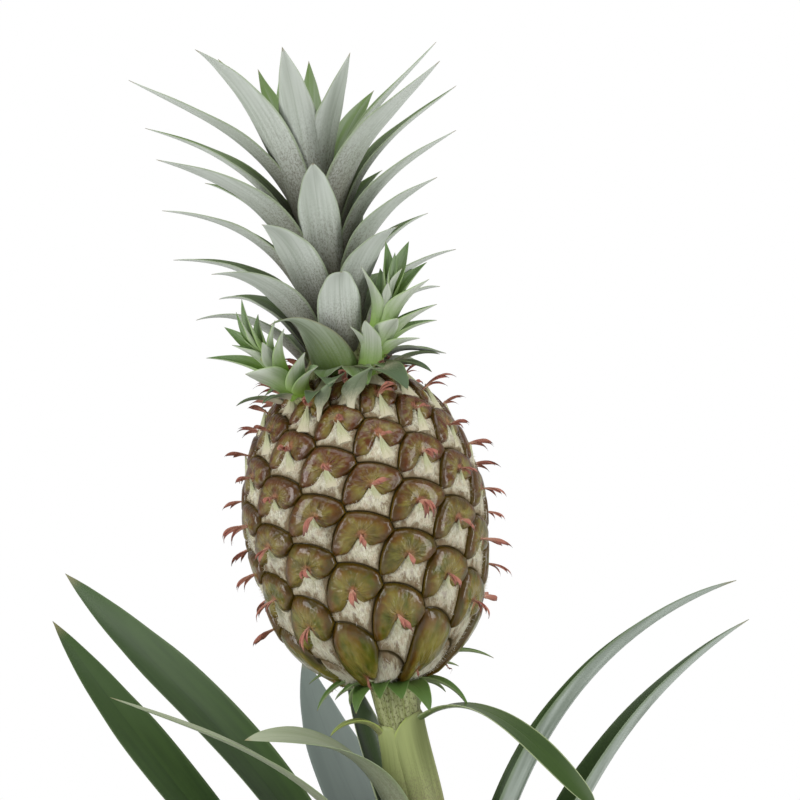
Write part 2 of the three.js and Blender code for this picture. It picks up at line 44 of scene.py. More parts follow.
METRES = Matrix.Scale(0.001, 4)
GOLDEN = 137.508  # turn from one leaf to the next
HEAD = Matrix.Translation((-12.8, 0, 303.7)) @ Matrix.Rotation(math.radians(-9), 4, "Y")  # the leaning fruit
CROWN = HEAD @ Matrix.Translation((0, 0, 96.3))
STALK_RADIUS = 6.6
CAMERA = (-9.6, -1300, 391.4)
PICTURE, MM_PER_PIXEL = 800, 0.32  # the picture's width, and its scale at the plant's middle


# ---- Values in node trees ----

class Value:
    """A number inside a node tree. Python's own signs add the nodes that work it out."""

    def __init__(self, tree, socket):
        self.tree, self.socket = tree, socket


def feed(socket, given):
    """Links a value to an input, or sets a plain one there."""
    if isinstance(given, Value):
        given.tree.links.new(given.socket, socket)
    else:
        socket.default_value = given


def found(sockets, name):
    """The socket in use that has this name."""
    return next(socket for socket in sockets if socket.name == name and socket.enabled)


def add(tree, kind, **words):
    """Adds a node. Words that start with a capital feed its inputs, the others are its settings."""
    node = tree.nodes.new(kind)
    for word, given in words.items():
        if word[0].islower():
            setattr(node, word, given)
    for word, given in words.items():
        if word[0].isupper():
            feed(found(node.inputs, word.replace("_", " ")), given)
    return node


def out(node, name=None):
    """A node's first output, or the one with this name."""
    return Value(node.id_data, found(node.outputs, name) if name else node.outputs[0])


def made(tree, kind, output=None, **words):
    """Adds a node and gives its output."""
    return out(add(tree, kind, **words), output)


def tree_of(values):
    return next(value.tree for value in values if isinstance(value, Value))


def worked(operation, *values):
    node = add(tree_of(values), "ShaderNodeMath", operation=operation)
    for socket, value in zip(node.inputs, values):
        feed(socket, value)
    return out(node)


for sign, kind in (("add", "ADD"), ("sub", "SUBTRACT"), ("mul", "MULTIPLY"), ("truediv", "DIVIDE"), ("pow", "POWER")):
    setattr(Value, f"__{sign}__", lambda a, b, kind=kind: worked(kind, a, b))
    setattr(Value, f"__r{sign}__", lambda a, b, kind=kind: worked(kind, b, a))

sine, cosine, size_of, least, most = (
    partial(worked, kind) for kind in ("SINE", "COSINE", "ABSOLUTE", "MINIMUM", "MAXIMUM"))


def vector(x, y, z):
    return made(tree_of((x, y, z)), "ShaderNodeCombineXYZ", X=x, Y=y, Z=z)


def split(value):
    node = add(value.tree, "ShaderNodeSeparateXYZ", Vector=value)
    return [out(node, axis) for axis in "XYZ"]


# ---- Geometry trees ----

def new_tree(name, numbers=(), counts=(), objects=()):
    """An empty geometry tree with named inputs, and those inputs."""
    tree = bpy.data.node_groups.new(name, "GeometryNodeTree")
    for way in ("INPUT", "OUTPUT"):
        tree.interface.new_socket("Geometry", in_out=way, socket_type="NodeSocketGeometry")
    for kind, labels in (("Float", numbers), ("Int", counts), ("Object", objects)):
        for label in labels:
            tree.interface.new_socket(label, in_out="INPUT", socket_type="NodeSocket" + kind)
    entry = tree.nodes.new("NodeGroupInput")
    return tree, {socket.name: Value(tree, socket) for socket in entry.outputs if socket.name}


def position(tree):
    return split(made(tree, "GeometryNodeInputPosition"))


def grid(tree, size):
    """A flat unit grid of the tree's own sides and steps."""
    return made(tree, "GeometryNodeMeshGrid", Size_X=1.0, Size_Y=1.0, Vertices_X=size["sides"],
                Vertices_Y=size["steps"])


def shape_of(lent):
    return made(lent.tree, "GeometryNodeObjectInfo", "Geometry", Object=lent)


def line_of(mesh):
    return made(mesh.tree, "GeometryNodeMeshToCurve", Mesh=mesh)


def moved(geometry, place):
    return made(geometry.tree, "GeometryNodeSetPosition", Geometry=geometry, Position=place)


def stored(geometry, name, value):
    """Keeps a vector on the points under a name that the finishes read."""
    return made(geometry.tree, "GeometryNodeStoreNamedAttribute", Geometry=geometry, Name=name, Value=value,
                data_type="FLOAT_VECTOR", domain="POINT")


def kept(tree, name, kind="FLOAT_VECTOR"):
    return made(tree, "GeometryNodeInputNamedAttribute", "Attribute", Name=name, data_type=kind)


def real(geometry):
    return made(geometry.tree, "GeometryNodeRealizeInstances", Geometry=geometry)


def welded(geometry, distance):
    return made(geometry.tree, "GeometryNodeMergeByDistance", Geometry=geometry, Distance=distance)


def ended(geometry, finish=None, weld=0.01):
    """The end of a tree: instances made real, doubles welded, smooth faces, the finish."""
    tree = geometry.tree
    smooth = made(tree, "GeometryNodeSetShadeSmooth", Geometry=welded(real(geometry), weld))
    if finish:
        smooth = made(tree, "GeometryNodeSetMaterial", Geometry=smooth, Material=finish)
    add(tree, "NodeGroupOutput", Geometry=smooth)


def grown(tree, start=None, **sizes):
    """The plain mesh that a tree makes from these sizes, and from a starting mesh where it needs one."""
    carrier = bpy.data.objects.new(tree.name, start or bpy.data.meshes.new(tree.name))
    bpy.context.scene.collection.objects.link(carrier)
    modifier = carrier.modifiers.new(tree.name, "NODES")
    modifier.node_group = tree
    for item in tree.interface.items_tree:
        if item.in_out == "INPUT" and item.name != "Geometry":
            modifier[item.identifier] = sizes[item.name.replace(" ", "_")]
    bpy.context.view_layer.update()
    depsgraph = bpy.context.evaluated_depsgraph_get()
    mesh = bpy.data.meshes.new_from_object(
        carrier.evaluated_get(depsgraph), preserve_all_data_layers=True, depsgraph=depsgraph)
    bpy.data.objects.remove(carrier)
    return mesh


def plain_mesh(name, points, faces=(), edges=(), **values):
    """A mesh from lists, with a vector or a number kept on each point for every extra word."""
    mesh = bpy.data.meshes.new(name)
    mesh.from_pydata([tuple(map(float, p)) for p in points], edges, faces)
    for label, rows in values.items():
        flat = np.asarray(rows, dtype=np.float32)
        kind, field = ("FLOAT_VECTOR", "vector") if flat.ndim > 1 else ("FLOAT", "value")
        mesh.attributes.new(label, kind, "POINT").data.foreach_set(field, flat.ravel())
    return mesh


def line_mesh(name, xs, zs, **values):
    """A line through points in the plane of x and z."""
    points = [(x, 0, z) for x, z in zip(xs, zs)]
    return plain_mesh(name, points, edges=[(i, i + 1) for i in range(len(points) - 1)], **values)


def steps_of(line):
    """How long each step of a line is."""
    return np.linalg.norm(np.diff(line, axis=0), axis=1)


def smoothed(line, rounds):
    """A line with its bends eased, between the same ends."""
    for _ in range(rounds):
        line[1:-1] = (line[:-2] + 2 * line[1:-1] + line[2:]) / 4
    return line


def grid_faces(rows, count, first=0):
    """The faces between rows of points that follow each other."""
    corners = [first + row * count + n for row in range(rows - 1) for n in range(count - 1)]
    return [(a, a + 1, a + count + 1, a + count) for a in corners]


helpers = []


def helper(name, mesh):
    """An object that only lends its shape to a tree."""
    helpers.append(bpy.data.objects.new(name, mesh))
    bpy.context.scene.collection.objects.link(helpers[-1])
    helpers[-1].hide_render = True
    return helpers[-1]


def finished(name, meshes, nodes, sharp=50):
    """One piece out of a few meshes in millimetres: joined, scaled to metres, and set on the frame."""
    parts = []
    for mesh in meshes:
        mesh.transform(METRES)
        parts.append(bpy.data.objects.new(name, mesh))
        bpy.context.scene.collection.objects.link(parts[-1])
    with bpy.context.temp_override(active_object=parts[0], selected_editable_objects=parts):
        bpy.ops.object.join()
    piece = parts[0]
    piece.name = name
    if sharp:
        piece.data.set_sharp_from_angle(angle=math.radians(sharp))
    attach(piece, "root")
    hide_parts(*nodes)
    return piece


# ---- Finishes ----

def tone(code):
    """A colour written as on screen, in the linear numbers that the shader takes."""
    parts = [int(code[i:i + 2], 16) / 255 for i in (0, 2, 4)]
    return tuple(p / 12.92 if p <= 0.04045 else ((p + 0.055) / 1.055) ** 2.4 for p in parts) + (1.0,)


def new_finish(name, roughness, **sockets):
    material = bpy.data.materials.new(name)
    material.use_nodes = True
    shader = material.node_tree.nodes["Principled BSDF"]
    for label, given in {"Roughness": roughness, **sockets}.items():
        shader.inputs[label.replace("_", " ")].default_value = given
    return material, material.node_tree


def read(tree, name):
    """A vector that the points carry."""
    return made(tree, "ShaderNodeAttribute", "Vector", attribute_name=name)


def place_on(tree):
    return made(tree, "ShaderNodeTexCoord", "Object")


def noise(place, scale, detail=2.0, rough=0.5, stretch=None):
    """Noise from 0 to 1 round 0.5, stretched along an axis if asked."""
    if stretch:
        place = made(place.tree, "ShaderNodeMapping", Vector=place, Scale=stretch)
    return made(place.tree, "ShaderNodeTexNoise", Vector=place, Scale=scale, Detail=detail, Roughness=rough)


def ramp(value, low, high):
    """0 where the value is at low, 1 at high, smooth between them."""
    return made(value.tree, "ShaderNodeMapRange", Value=value, From_Min=low, From_Max=high,
                interpolation_type="SMOOTHSTEP")


def mixed(share, a, b):
    return made(share.tree, "ShaderNodeMix", "Result", Factor=share, A=a, B=b, data_type="RGBA")


def layered(colour, *coats):
    """A colour under coats, each of them a share from 0 to 1 and a tone."""
    colour = tone(colour) if isinstance(colour, str) else colour
    for share, code in coats:
        colour = mixed(share, colour, tone(code))
    return colour


def coloured(material, colour, height=None, depth=None, strength=None):
    """Feeds a material its colour, and its bump where it has one."""
    shader = material.node_tree.nodes["Principled BSDF"]
    feed(shader.inputs["Base Color"], colour)
    if height:
        feed(shader.inputs["Normal"], made(
            material.node_tree, "ShaderNodeBump", Height=height, Distance=depth, Strength=strength))
    return material


def leaf_finish(name, upper, under, deep, margin, straw, speckle_and_foot_shade, roughness, specks, haze, foot, vein=1.5,
                foot_height=0.58):
    """A leaf: long fine veins, a deeper colour in the trough, a margin, a speckled foot (on the crown leaves darkened
    partly as painted shade) and a dry tip.
    """
    material, tree = new_finish(name, roughness, Specular_IOR_Level=0.35)
    across, along, side = split(read(tree, "leaf"))
    grain = read(tree, "grain")
    veins = noise(grain, 1.0, 1.0, 0.5, (vein, 0.04, 1.0))
    broad = noise(grain, 1.0, 1.0, 0.5, (0.35, 0.03, 1.0))
    dots = noise(grain, 1.0, 2.0, 0.7, (2.6, 1.3, 1.0))
    edge = size_of(across)
    colour = layered(
        mixed(side, tone(upper), tone(under)),
        (ramp(veins, 0.35, 0.75) * ramp(along, 1.0, 0.6) * haze, deep),
        (ramp(broad, 0.4, 0.7) * 0.35, deep),
        (ramp(edge, 0.06, 0.0) * 0.4, deep),
        # towards its foot the blade takes the foot colour: on the silver crown leaves this darkening is partly brown
        # speckle and partly painted shade among the crowded leaf feet
        (ramp(along, foot_height, 0.04) * foot, speckle_and_foot_shade),
        (ramp(dots, 0.44, 0.64) * ramp(along, 0.75, 0.15) * specks, speckle_and_foot_shade),
        (ramp(edge, 0.88, 0.98) * 0.6, margin),
        (ramp(along, 0.96, 0.995) * 0.8, straw))
    height = (broad * 1.5 + ramp(edge, 0.1, 0.0) * -0.6) * ramp(along, 0.85, 0.3)
    return coloured(material, colour, height, 0.0004, 0.4)


# upper side, under side, trough, margin, dry tip, foot with its specks (on the silver crown leaves partly painted
# shade); roughness; how much specks, veins and foot show
LEAF_FINISHES = {row[0]: leaf_finish(*row) for row in (
    # the silver crown leaf's dark foot colour is partly brown speckle and partly painted shade
    ("silver_crown_leaf", "5a7338", "bcc2ba", "919a8b", "8c9c76", "8a8064", "564d3d", 0.6, 0.75, 0.4, 0.85),
    ("green_slip_leaf", "55713c", "b3b9ab", "87927c", "8ba566", "8a8a64", "74982a", 0.5, 0.3, 0.5, 0.95, 1.5, 0.8),
    ("arched_crown_leaf", "5d7345", "8b9583", "626e4e", "6e6a4c", "8a8064", "587024", 0.6, 0.6, 0.7, 0.95, 1.5, 0.75),
    ("top_bract", "44563a", "67735a", "4c593e", "74865a", "77604a", "c4bda4", 0.6, 0.4, 0.6, 0.95),
    ("long_leaf", "3b5328", "98a298", "2c4020", "5c6f48", "7c7856", "4c5841", 0.4, 0.1, 0.4, 0.2, 0.6),
    ("grey_long_leaf", "67726c", "6d7873", "5b6661", "7a8580", "8c8660", "626c67", 0.5, 0.1, 0.3, 0.2, 0.6),
    ("stalk_leaf", "2f4516", "a0ab84", "263c10", "a9b488", "8c8660", "5f7434", 0.3, 0.2, 0.5, 0.6, 0.8),
    ("pale_stalk_leaf", "949c84", "979f88", "7b8766", "84946a", "8c8660", "6f6a52", 0.55, 0.6, 0.5, 0.3),
    ("collar_bract", "4f6b30", "93a078", "4c6a2c", "8ba268", "8c7a5a", "71783f", 0.55, 0.5, 0.5, 0.5),
    ("clasping_sheath", "8f9f48", "a3ad70", "7f8850", "afc060", "8c8660", "7d7358", 0.55, 0.8, 0.5, 0.3),
)}


# ---- Leaves ----

BLADE_NUMBERS = ("foot", "root", "reach", "top", "root angle", "root pull", "tip angle", "tip pull", "width",
                 "thickness", "azimuth", "sway", "roll", "trough", "ripple", "seed")
FULL_WRAP = 115  # how far a blade may clasp what it stands on, to each side


def blade_tree(name, outline, finish):
    """A leaf: its midrib is a flat curve of distance and height, its blade is swept round the plant's axis."""
    tree, size = new_tree(name, BLADE_NUMBERS, ("columns", "rows"))
    rise, run = size["top"] - size["root"], size["reach"] - size["foot"]
    span = (rise * rise + run * run) ** 0.5

    def handle(x, z, angle, pull):
        return vector(x + cosine(angle * DEGREE) * pull * span, 0.0, z + sine(angle * DEGREE) * pull * span)

    midrib = made(
        tree, "GeometryNodeCurvePrimitiveBezierSegment", mode="POSITION", Resolution=60,
        Start=vector(size["foot"], 0.0, size["root"]),
        Start_Handle=handle(size["foot"], size["root"], size["root angle"], size["root pull"]),
        End_Handle=handle(size["reach"], size["top"], size["tip angle"], size["tip pull"] * -1.0),
        End=vector(size["reach"], 0.0, size["top"]))
    block = made(tree, "GeometryNodeMeshCube", Size=(1, 1, 1), Vertices_X=size["columns"],
                 Vertices_Y=size["rows"], Vertices_Z=2)
    x, y, z = position(tree)
    across, along, under = sine(x * -math.pi), y + 0.5, 0.5 - z
    rib = add(tree, "GeometryNodeSampleCurve", Curves=midrib, Factor=along, mode="FACTOR")
    radius, _, height = split(out(rib, "Position"))
    out_along, _, up_along = split(out(rib, "Tangent"))
    length = made(tree, "GeometryNodeCurveLength", Curve=midrib)
    profile = add(tree, "ShaderNodeFloatCurve", Value=along)
    curve = profile.mapping.curves[0]
    for n, spot in enumerate(outline):
        point = curve.points[n] if n < 2 else curve.points.new(*spot)
        point.location = spot
    profile.mapping.update()
    half = out(profile) * size["width"] * 0.5
    turned = size["roll"] * along * along * DEGREE
    swing = least(half * cosine(turned) / most(radius, 0.5), FULL_WRAP * DEGREE)
    edge = size_of(across)
    thick = size["thickness"] * (1 - along ** 5.0 * 0.85) * (1 - edge ** 4.0 * 0.8)
    ripple = sine(along * 19.0 + size["seed"] * 6.0 + across * 1.5) * edge * size["ripple"] * half
    lift = edge ** 1.6 * half * size["trough"] + across * half * sine(turned) + ripple - under * thick
    angle = (size["azimuth"] + size["sway"] * along * along) * DEGREE + across * swing
    reach = radius - up_along * lift
    place = vector(sine(angle) * reach, cosine(angle) * reach * -1.0, height + out_along * lift)
    leaf = stored(block, "leaf", vector(across, along, under))
    leaf = stored(leaf, "grain", vector(across * half, along * length, size["seed"] * 100.0))
    ended(moved(leaf, place), finish)
    return tree


# How wide a blade is from its foot, 0, to its tip, 1, as a share of its width
LONG_OUTLINE = [(0, 0.58), (0.3, 0.85), (0.5, 1), (0.68, 0.92), (0.84, 0.6), (0.94, 0.28), (1, 0)]
SLIM_OUTLINE = [(0, 0.58), (0.3, 0.88), (0.5, 1), (0.68, 0.78), (0.84, 0.44), (0.94, 0.22), (1, 0)]
STALK_OUTLINE = [(0, 0.8), (0.3, 1), (0.6, 0.85), (0.85, 0.42), (1, 0)]
SHEATH_OUTLINE = [(0, 1), (0.6, 0.98), (0.85, 0.7), (1, 0)]
BRACT_OUTLINE = [(0, 0.85), (0.35, 1), (0.7, 0.6), (1, 0)]
CROWN_OUTLINE = [(0, 0.3), (0.3, 0.95), (0.45, 1), (0.75, 0.6), (0.92, 0.2), (1, 0)]
SLIP_OUTLINE = [(0, 0.8), (0.2, 1), (0.45, 0.86), (0.75, 0.4), (1, 0)]
FOLDED_OUTLINE = [(0, 0.3), (0.3, 0.42), (0.5, 1), (0.72, 0.62), (0.88, 0.2), (1, 0)]
ARCHING_OUTLINE = [(0, 0.4), (0.3, 0.8), (0.5, 1), (0.75, 0.8), (1, 0)]

BLADES = {name: blade_tree(name, outline, LEAF_FINISHES[finish]) for name, outline, finish in (
    ("crown leaf", CROWN_OUTLINE, "silver_crown_leaf"),
    ("arched crown leaf", SLIP_OUTLINE, "arched_crown_leaf"),
    ("slip leaf", SLIP_OUTLINE, "green_slip_leaf"),
    ("top bract", BRACT_OUTLINE, "top_bract"),
    ("folded bract", FOLDED_OUTLINE, "top_bract"),
    ("long leaf", LONG_OUTLINE, "long_leaf"),
    ("slim long leaf", SLIM_OUTLINE, "long_leaf"),
    ("grey long leaf", LONG_OUTLINE, "grey_long_leaf"),
    ("stalk leaf", STALK_OUTLINE, "stalk_leaf"),
    ("arching stalk leaf", ARCHING_OUTLINE, "stalk_leaf"),
    ("pale stalk leaf", STALK_OUTLINE, "pale_stalk_leaf"),
    ("bright stalk leaf", STALK_OUTLINE, "clasping_sheath"),
    ("clasping sheath", SHEATH_OUTLINE, "clasping_sheath"),
    ("collar bract", BRACT_OUTLINE, "collar_bract"),
)}
BLADE_USUAL = {"root_pull": 0.45, "tip_pull": 0.35, "sway": 0.0, "roll": 0.0, "trough": 0.12, "ripple": 0.0,
               "seed": 0.5, "columns": 9, "rows": 30}


def blade(kind, at, **sizes):
    """One leaf's mesh, carried to its place by a matrix."""
    mesh = grown(BLADES[kind], **(BLADE_USUAL | sizes))
    mesh.transform(at)
    return mesh


# ---- Stems ----

def stalk_finish():
    """Pale green with a grey bloom, brown-green specks, and ribs along it."""
    material, tree = new_finish("hairy_stalk", 0.6, Specular_IOR_Level=0.3)
    grain = read(tree, "grain")
    ribs = noise(grain, 1.0, 3.0, 0.6, (1.5, 0.06, 1.0))
    specks = noise(grain, 1.0, 2.0, 0.7, (1.6, 0.9, 1.0))
    colour = layered("a9ad80", (ramp(ribs, 0.35, 0.7), "80884c"), (ramp(specks, 0.5, 0.64) * 0.8, "5c5530"))
    return coloured(material, colour, ribs + specks * 0.6, 0.0004, 0.7)


def stem_tree():
    """A ribbed round stem along a line. Its radius follows the line's own numbers, and it closes past both ends."""
    tree, size = new_tree("stalk", ("ribs", "rib height"), ("sides", "steps"))
    line = line_of(size["Geometry"])
    x, y, _ = position(tree)
    block = grid(tree, size)
    turn, along = x * 2 * math.pi, y * 1.02 + 0.5
    inside = least(most(along, 0.0), 1.0)
    centre = add(tree, "GeometryNodeSampleCurve", Curves=line, Factor=inside, Value=kept(tree, "girth", "FLOAT"),
                 mode="FACTOR", data_type="FLOAT")
    open_here = worked("COMPARE", inside - along, 0.0, 0.001)
    girth = out(centre, "Value") * open_here * (1 + sine(turn * size["ribs"]) * size["rib height"])
    cx, _, cz = split(out(centre, "Position"))
    tx, _, tz = split(out(centre, "Tangent"))
    place = vector(cx + tz * girth * cosine(turn), girth * sine(turn), cz - tx * girth * cosine(turn))
    length = made(tree, "GeometryNodeCurveLength", Curve=line)
    ended(moved(stored(block, "grain", vector(turn * 7.0, along * length, 0.0)), place), stalk_finish())
    return tree


STEM_TREE = stem_tree()


def stem(heights, girth, xs=None, **sizes):
    """A stem's mesh through these heights, with its girth at each of them."""
    xs = np.zeros(len(heights)) if xs is None else xs
    return grown(STEM_TREE, line_mesh("stem line", xs, heights, girth=girth), **sizes)


def draw(i, k):
    """A repeatable draw from 0 to 1 for item i of series k, the same as in the solids."""
    x = math.sin(i * 127.1 + k * 311.7) * 43758.5453
    return x - math.floor(x)


def through(knots, x):
    return float(np.interp(x, *zip(*knots)))


def mix(a, b, share):
    return a + (b - a) * share


# ---- The crown ----

CROWN_LEAVES = [  # azimuth, root, reach and top of each leaf in the crown's frame
    (-70, 0.6, 27, -2), (-14, 0.6, 25, 0), (16, 0.8, 28, -4), (46, 0.6, 29, -4), (84, 1.5, 34, 2.3),
    (112, 0.8, 29, -0.6), (-86, 4, 43.6, 25.2), (9, 5, 33, 32.1), (120, 6, 41, 24.3),
    (-122, 7, 42.7, 31.5), (-50, 9, 46, 37.9), (94, 10, 42.3, 34.8), (-108, 13, 51, 46.1),
    (42, 14, 37, 43.7), (-29, 16, 35.6, 50.7), (116, 18, 39.3, 48.3), (-92, 21, 49, 61.7), (66, 23, 43.2, 57.5),
    (3, 25, 30, 67.3), (-128, 27, 44.4, 69.8), (-60, 29, 54, 76.2), (80, 31, 48.6, 71.8), (128, 32, 29, 64.4),
    (-103, 35, 52, 89.4), (108, 37, 53.4, 87.6), (-46, 40, 40.8, 108.3), (52, 40, 57.9, 92.2),
    (-82, 44, 53, 103.9), (-4, 45, 32, 104.5), (98, 46, 46.8, 101.8), (-130, 50, 31.6, 108.6),
    (42, 50, 27.6, 100.4), (168, 56, 23.2, 103.6), (-152, 57, 25.4, 103.5), (-95, 60, 13, 95.4),
    (175, 2, 36, 14), (-150, 3, 36, 16), (150, 8, 40, 32), (-165, 13, 41, 42), (160, 19, 42, 54),
    (-155, 24, 42, 64), (-178, 31, 44, 78), (148, 38, 46, 92), (-172, 44, 40, 102), (75, 60, 13, 92),
]
# By height in the crown: the core's radius, then a leaf's width and its angles at its root and its tip
CORE = [(0, 14), (6, 12), (20, 9.5), (64, 4)]
CORE_FOOT, CORE_TOP = -5, 62
CROWN_WIDTH = [(0, 9), (1, 9), (1.5, 13), (5, 15.5), (40, 15.5), (50, 13.5), (60, 9)]
CROWN_ROOT_ANGLE = [(0, 45), (6, 66), (20, 76), (44, 80), (60, 84)]
CROWN_TIP_ANGLE = [(0, -28), (4, -10), (12, 6), (22, 14), (35, 24), (45, 36), (52, 58), (60, 80)]


def crown_leaves():
    """The core, and every leaf round it. One broad leaf starts in front and swings to the left across the foot."""
    heights = np.linspace(CORE_FOOT, CORE_TOP, 30)
    core = stem(heights, [through(CORE, z) - 0.8 for z in heights], ribs=5.0, rib_height=0.04, sides=33, steps=50)
    core.transform(CROWN)
    shape = {"thickness": 0.9, "rows": 34, "columns": 11}
    return [core, blade(
        "arched crown leaf", CROWN, azimuth=-6, sway=-33, foot=11.5, root=-5, reach=31.7, top=19.4, root_angle=66,
        tip_angle=-30, width=17, trough=0.2, seed=0.31, **shape)] + [blade(
            "crown leaf", CROWN, azimuth=azimuth, root=root, reach=reach, top=top, foot=through(CORE, root) - 2.5,
            width=through(CROWN_WIDTH, root), root_angle=through(CROWN_ROOT_ANGLE, root),
            tip_angle=through(CROWN_TIP_ANGLE, root), trough=0.14, seed=draw(i, 1), ripple=0.02, **shape)
            for i, (azimuth, root, reach, top) in enumerate(CROWN_LEAVES)]


def pointing(azimuth):
    return Vector((math.sin(azimuth * DEGREE), -math.cos(azimuth * DEGREE), 0))


def seen_at(across, down, depth):
    """The point at this place in the picture, and at this distance behind the plant's middle."""
    x, y, z = CAMERA
    step = MM_PER_PIXEL * (depth - y) / -y
    return Vector((x + (across - PICTURE / 2) * step, depth, z - (down - PICTURE / 2) * step))


def leaf_to(kind, place, tip, foot, root, width, bend=(24, -24), **sizes):
    """A leaf of a small rosette that stands at a place, grown out to a tip. It bends at its root and its tip."""
    local = place.inverted() @ seen_at(*tip)
    reach = math.hypot(local.x, local.y)
    rise = math.degrees(math.atan2(local.z - root, reach - foot))
    return blade(
        kind, place, azimuth=math.degrees(math.atan2(local.x, -local.y)), foot=foot, root=root, reach=reach,
        top=local.z, root_angle=min(rise + bend[0], 100), tip_angle=rise + bend[1], width=width, **sizes)


SLIPS = [  # each leaf: its tip as seen and its depth, how far up the slip it grows, and its width
    ({"azimuth": 40, "from": 15.6, "root": 3, "lean to": 68, "lean": 24, "stem": 19}, [
        ((361, 266, -19), 7, 12), ((385.5, 241, -9), 15, 8), ((409, 241, -5), 16, 8.6), ((402, 268, -18), 12, 9),
        ((427, 262, -6), 13, 8), ((429, 279, -19), 7, 15), ((437, 304, -16), 3, 12), ((365, 320, -24), -5, 17),
        ((350, 326, -21), -1, 7), ((437, 320, -8), 4, 7.5), ((398, 318, -28), 2, 12), ((414, 262, 4), 12, 8),
        ((420, 338, -22), 1, 8), ((380, 268, 2), 9, 8), ((395, 252, -12), 17, 6), ((388, 282, -22), 8, 9)]),
    ({"azimuth": -40, "from": 21, "root": -4, "lean to": -80, "lean": 36, "stem": 18}, [
        ((241.5, 299, -12), 14, 6.5), ((224, 327, -8), 12, 6.5), ((275, 320, -19), 13, 7.5),
        ((284, 328.5, -27), 8, 8), ((206, 358, -7), 5, 7), ((245, 374, -30), 1, 14), ((232, 345, -18), 8, 9.5),
        ((258, 314, -8), 15, 6.5), ((305, 352, -32), 0, 13), ((236, 312, -16), 13, 6), ((262, 342, -26), 7, 9.5),
        ((318, 366, -32), 0, 10)]),
]


def slip_leaves(slip, tips):
    """The leaves of a small shoot beside the crown, and the stem that they grow from."""
    lean = slip["lean"] * DEGREE
    leaning = pointing(slip["lean to"]) * math.sin(lean) + Vector((0, 0, math.cos(lean)))
    tilt = Vector((0, 0, 1)).rotation_difference(leaning).to_matrix().to_4x4()
    place = CROWN @ Matrix.Translation(pointing(slip["azimuth"]) * slip["from"] + Vector((0, 0, slip["root"]))) @ tilt
    shoot = stem(np.linspace(-3, slip["stem"], 24), np.linspace(3.8, 1.7, 24), ribs=5.0, rib_height=0.05, sides=25,
                 steps=40)
    shoot.transform(place)
    return [shoot] + [
        leaf_to("slip leaf", place, tip, 0.25 * width, root, width, thickness=0.8, trough=0.3, seed=draw(i, 2),
                rows=24)
        for i, (tip, root, width) in enumerate(tips)]


TOP_BRACTS = [  # on the fruit's shoulder: tip as seen and its depth, distance of the foot, root's height, width
    ((408, 390, -29), 13, 97.5, 13), ((236, 406, -14), 22, 91, 5), ((432, 372, -14), 14, 97, 8),
    ((440, 354, -6), 14, 96, 6.5), ((308, 404, -34), 20, 92, 7), ((262, 404, -27), 22, 91, 5),
    ((330, 388, -33), 17, 95, 9),
]
FOLDED_BRACTS = [  # long bracts of the highest eyes: pale stems that end in a green blade, which folds over
    ((345, 370, -33), 27, 84, 8), ((307, 383, -32), 28, 83, 5),
]


def top_bracts():
    kinds = (("top bract", TOP_BRACTS, (24, -34), 0), ("folded bract", FOLDED_BRACTS, (26, -40), 17))
    return [leaf_to(kind, HEAD, tip, foot, root, width, bend, thickness=0.7, trough=0.25, sway=sway,
                    seed=draw(i, 9), rows=20)
            for kind, bracts, bend, sway in kinds for i, (tip, foot, root, width) in enumerate(bracts)]


finished("crown_leaves", crown_leaves(), ["crown"])
finished("slips", slip_leaves(*SLIPS[0]) + slip_leaves(*SLIPS[1]), ["crown"])
finished("top_bracts", top_bracts(), ["crown"])


# ---- The long leaves and the stalk's own ----

STEM_LINE = [(0, 72), (0, 160), (0, 225), (-5.2, 275), (-11.4, 294.2), (-13.38, 307.35)]  # x and z of the stalk
STEM_RADIUS = [(72, 10), (82, 12), (125, 12), (180, 7.6), (220, 6.6), (285, 6.7), (302, 7.5)]
LEAF_WORDS = ("azimuth", "root", "reach", "top", "root_angle", "tip_angle", "width", "roll")


def stem_leaf(kind, foot_share, lean=0.0, **sizes):
    """A leaf whose foot is close round the stem, leaning with it. The foot's share is that of its outline."""
    root = sizes["root"]
    foot = through(STEM_RADIUS, root) + 0.5 * sizes["width"] * foot_share * 0.12 + 0.3
    stem_x = through([(z, x) for x, z in STEM_LINE], root)
    leaning = Matrix.Rotation(-lean * DEGREE, 4, "Y") @ Matrix.Translation((0, 0, -root))
    return blade(kind, Matrix.Translation((stem_x, 0, root)) @ leaning, foot=foot, **sizes)


def listed(leaves, words, foot_share, series, **shape):
    """Stem leaves from a table, whose rows hold a kind and then the number for each word."""
    return [stem_leaf(kind, foot_share, seed=draw(i, series), **dict(zip(words, row)), **shape)
            for i, (kind, *row) in enumerate(leaves)]


TALL_LEAVES = [  # kind, azimuth, root, reach, top, root angle, tip angle, width, roll, trough
    ("long leaf", -111.6, 160, 134.4, 318, 59, 52, 21, -55, 0.12),
    ("slim long leaf", 112, 160, 114, 319, 69, 29, 18, -14, 0.6),
    ("long leaf", -123.5, 172, 148, 332.4, 72, 39, 22, -45, 0.2),
    ("slim long leaf", 100, 172, 101, 333, 86, 18, 17, -14, 0.6),
    ("grey long leaf", -154, 186, 97, 304, 78, 62, 25, 0, 0.12),
]
LOW_LEAVES = 15
LONG_FOOT = LONG_OUTLINE[0][1]


def long_leaves():
    """The low leaves go round by an even turn. The tall ones are those that the photo shows."""
    shape = {"thickness": 1.2, "rows": 48, "columns": 11}
    leaves = []
    for i in range(LOW_LEAVES):
        share = i / (LOW_LEAVES - 1)
        leaves.append(stem_leaf(
            "long leaf", LONG_FOOT, azimuth=38 + i * GOLDEN, root=109 + 3.4 * i,
            reach=mix(190, 160, share) + 14 * (draw(i, 2) - 0.5), top=mix(140, 236, share) + 10 * (draw(i, 3) - 0.5),
            root_angle=mix(58, 70, share), tip_angle=mix(-30, 4, share), width=mix(22, 25, share),
            sway=16 * (draw(i, 4) - 0.5), seed=draw(i, 5), ripple=0.03, **shape))
    return leaves + listed(TALL_LEAVES, (*LEAF_WORDS, "trough"), LONG_FOOT, 6, **shape)


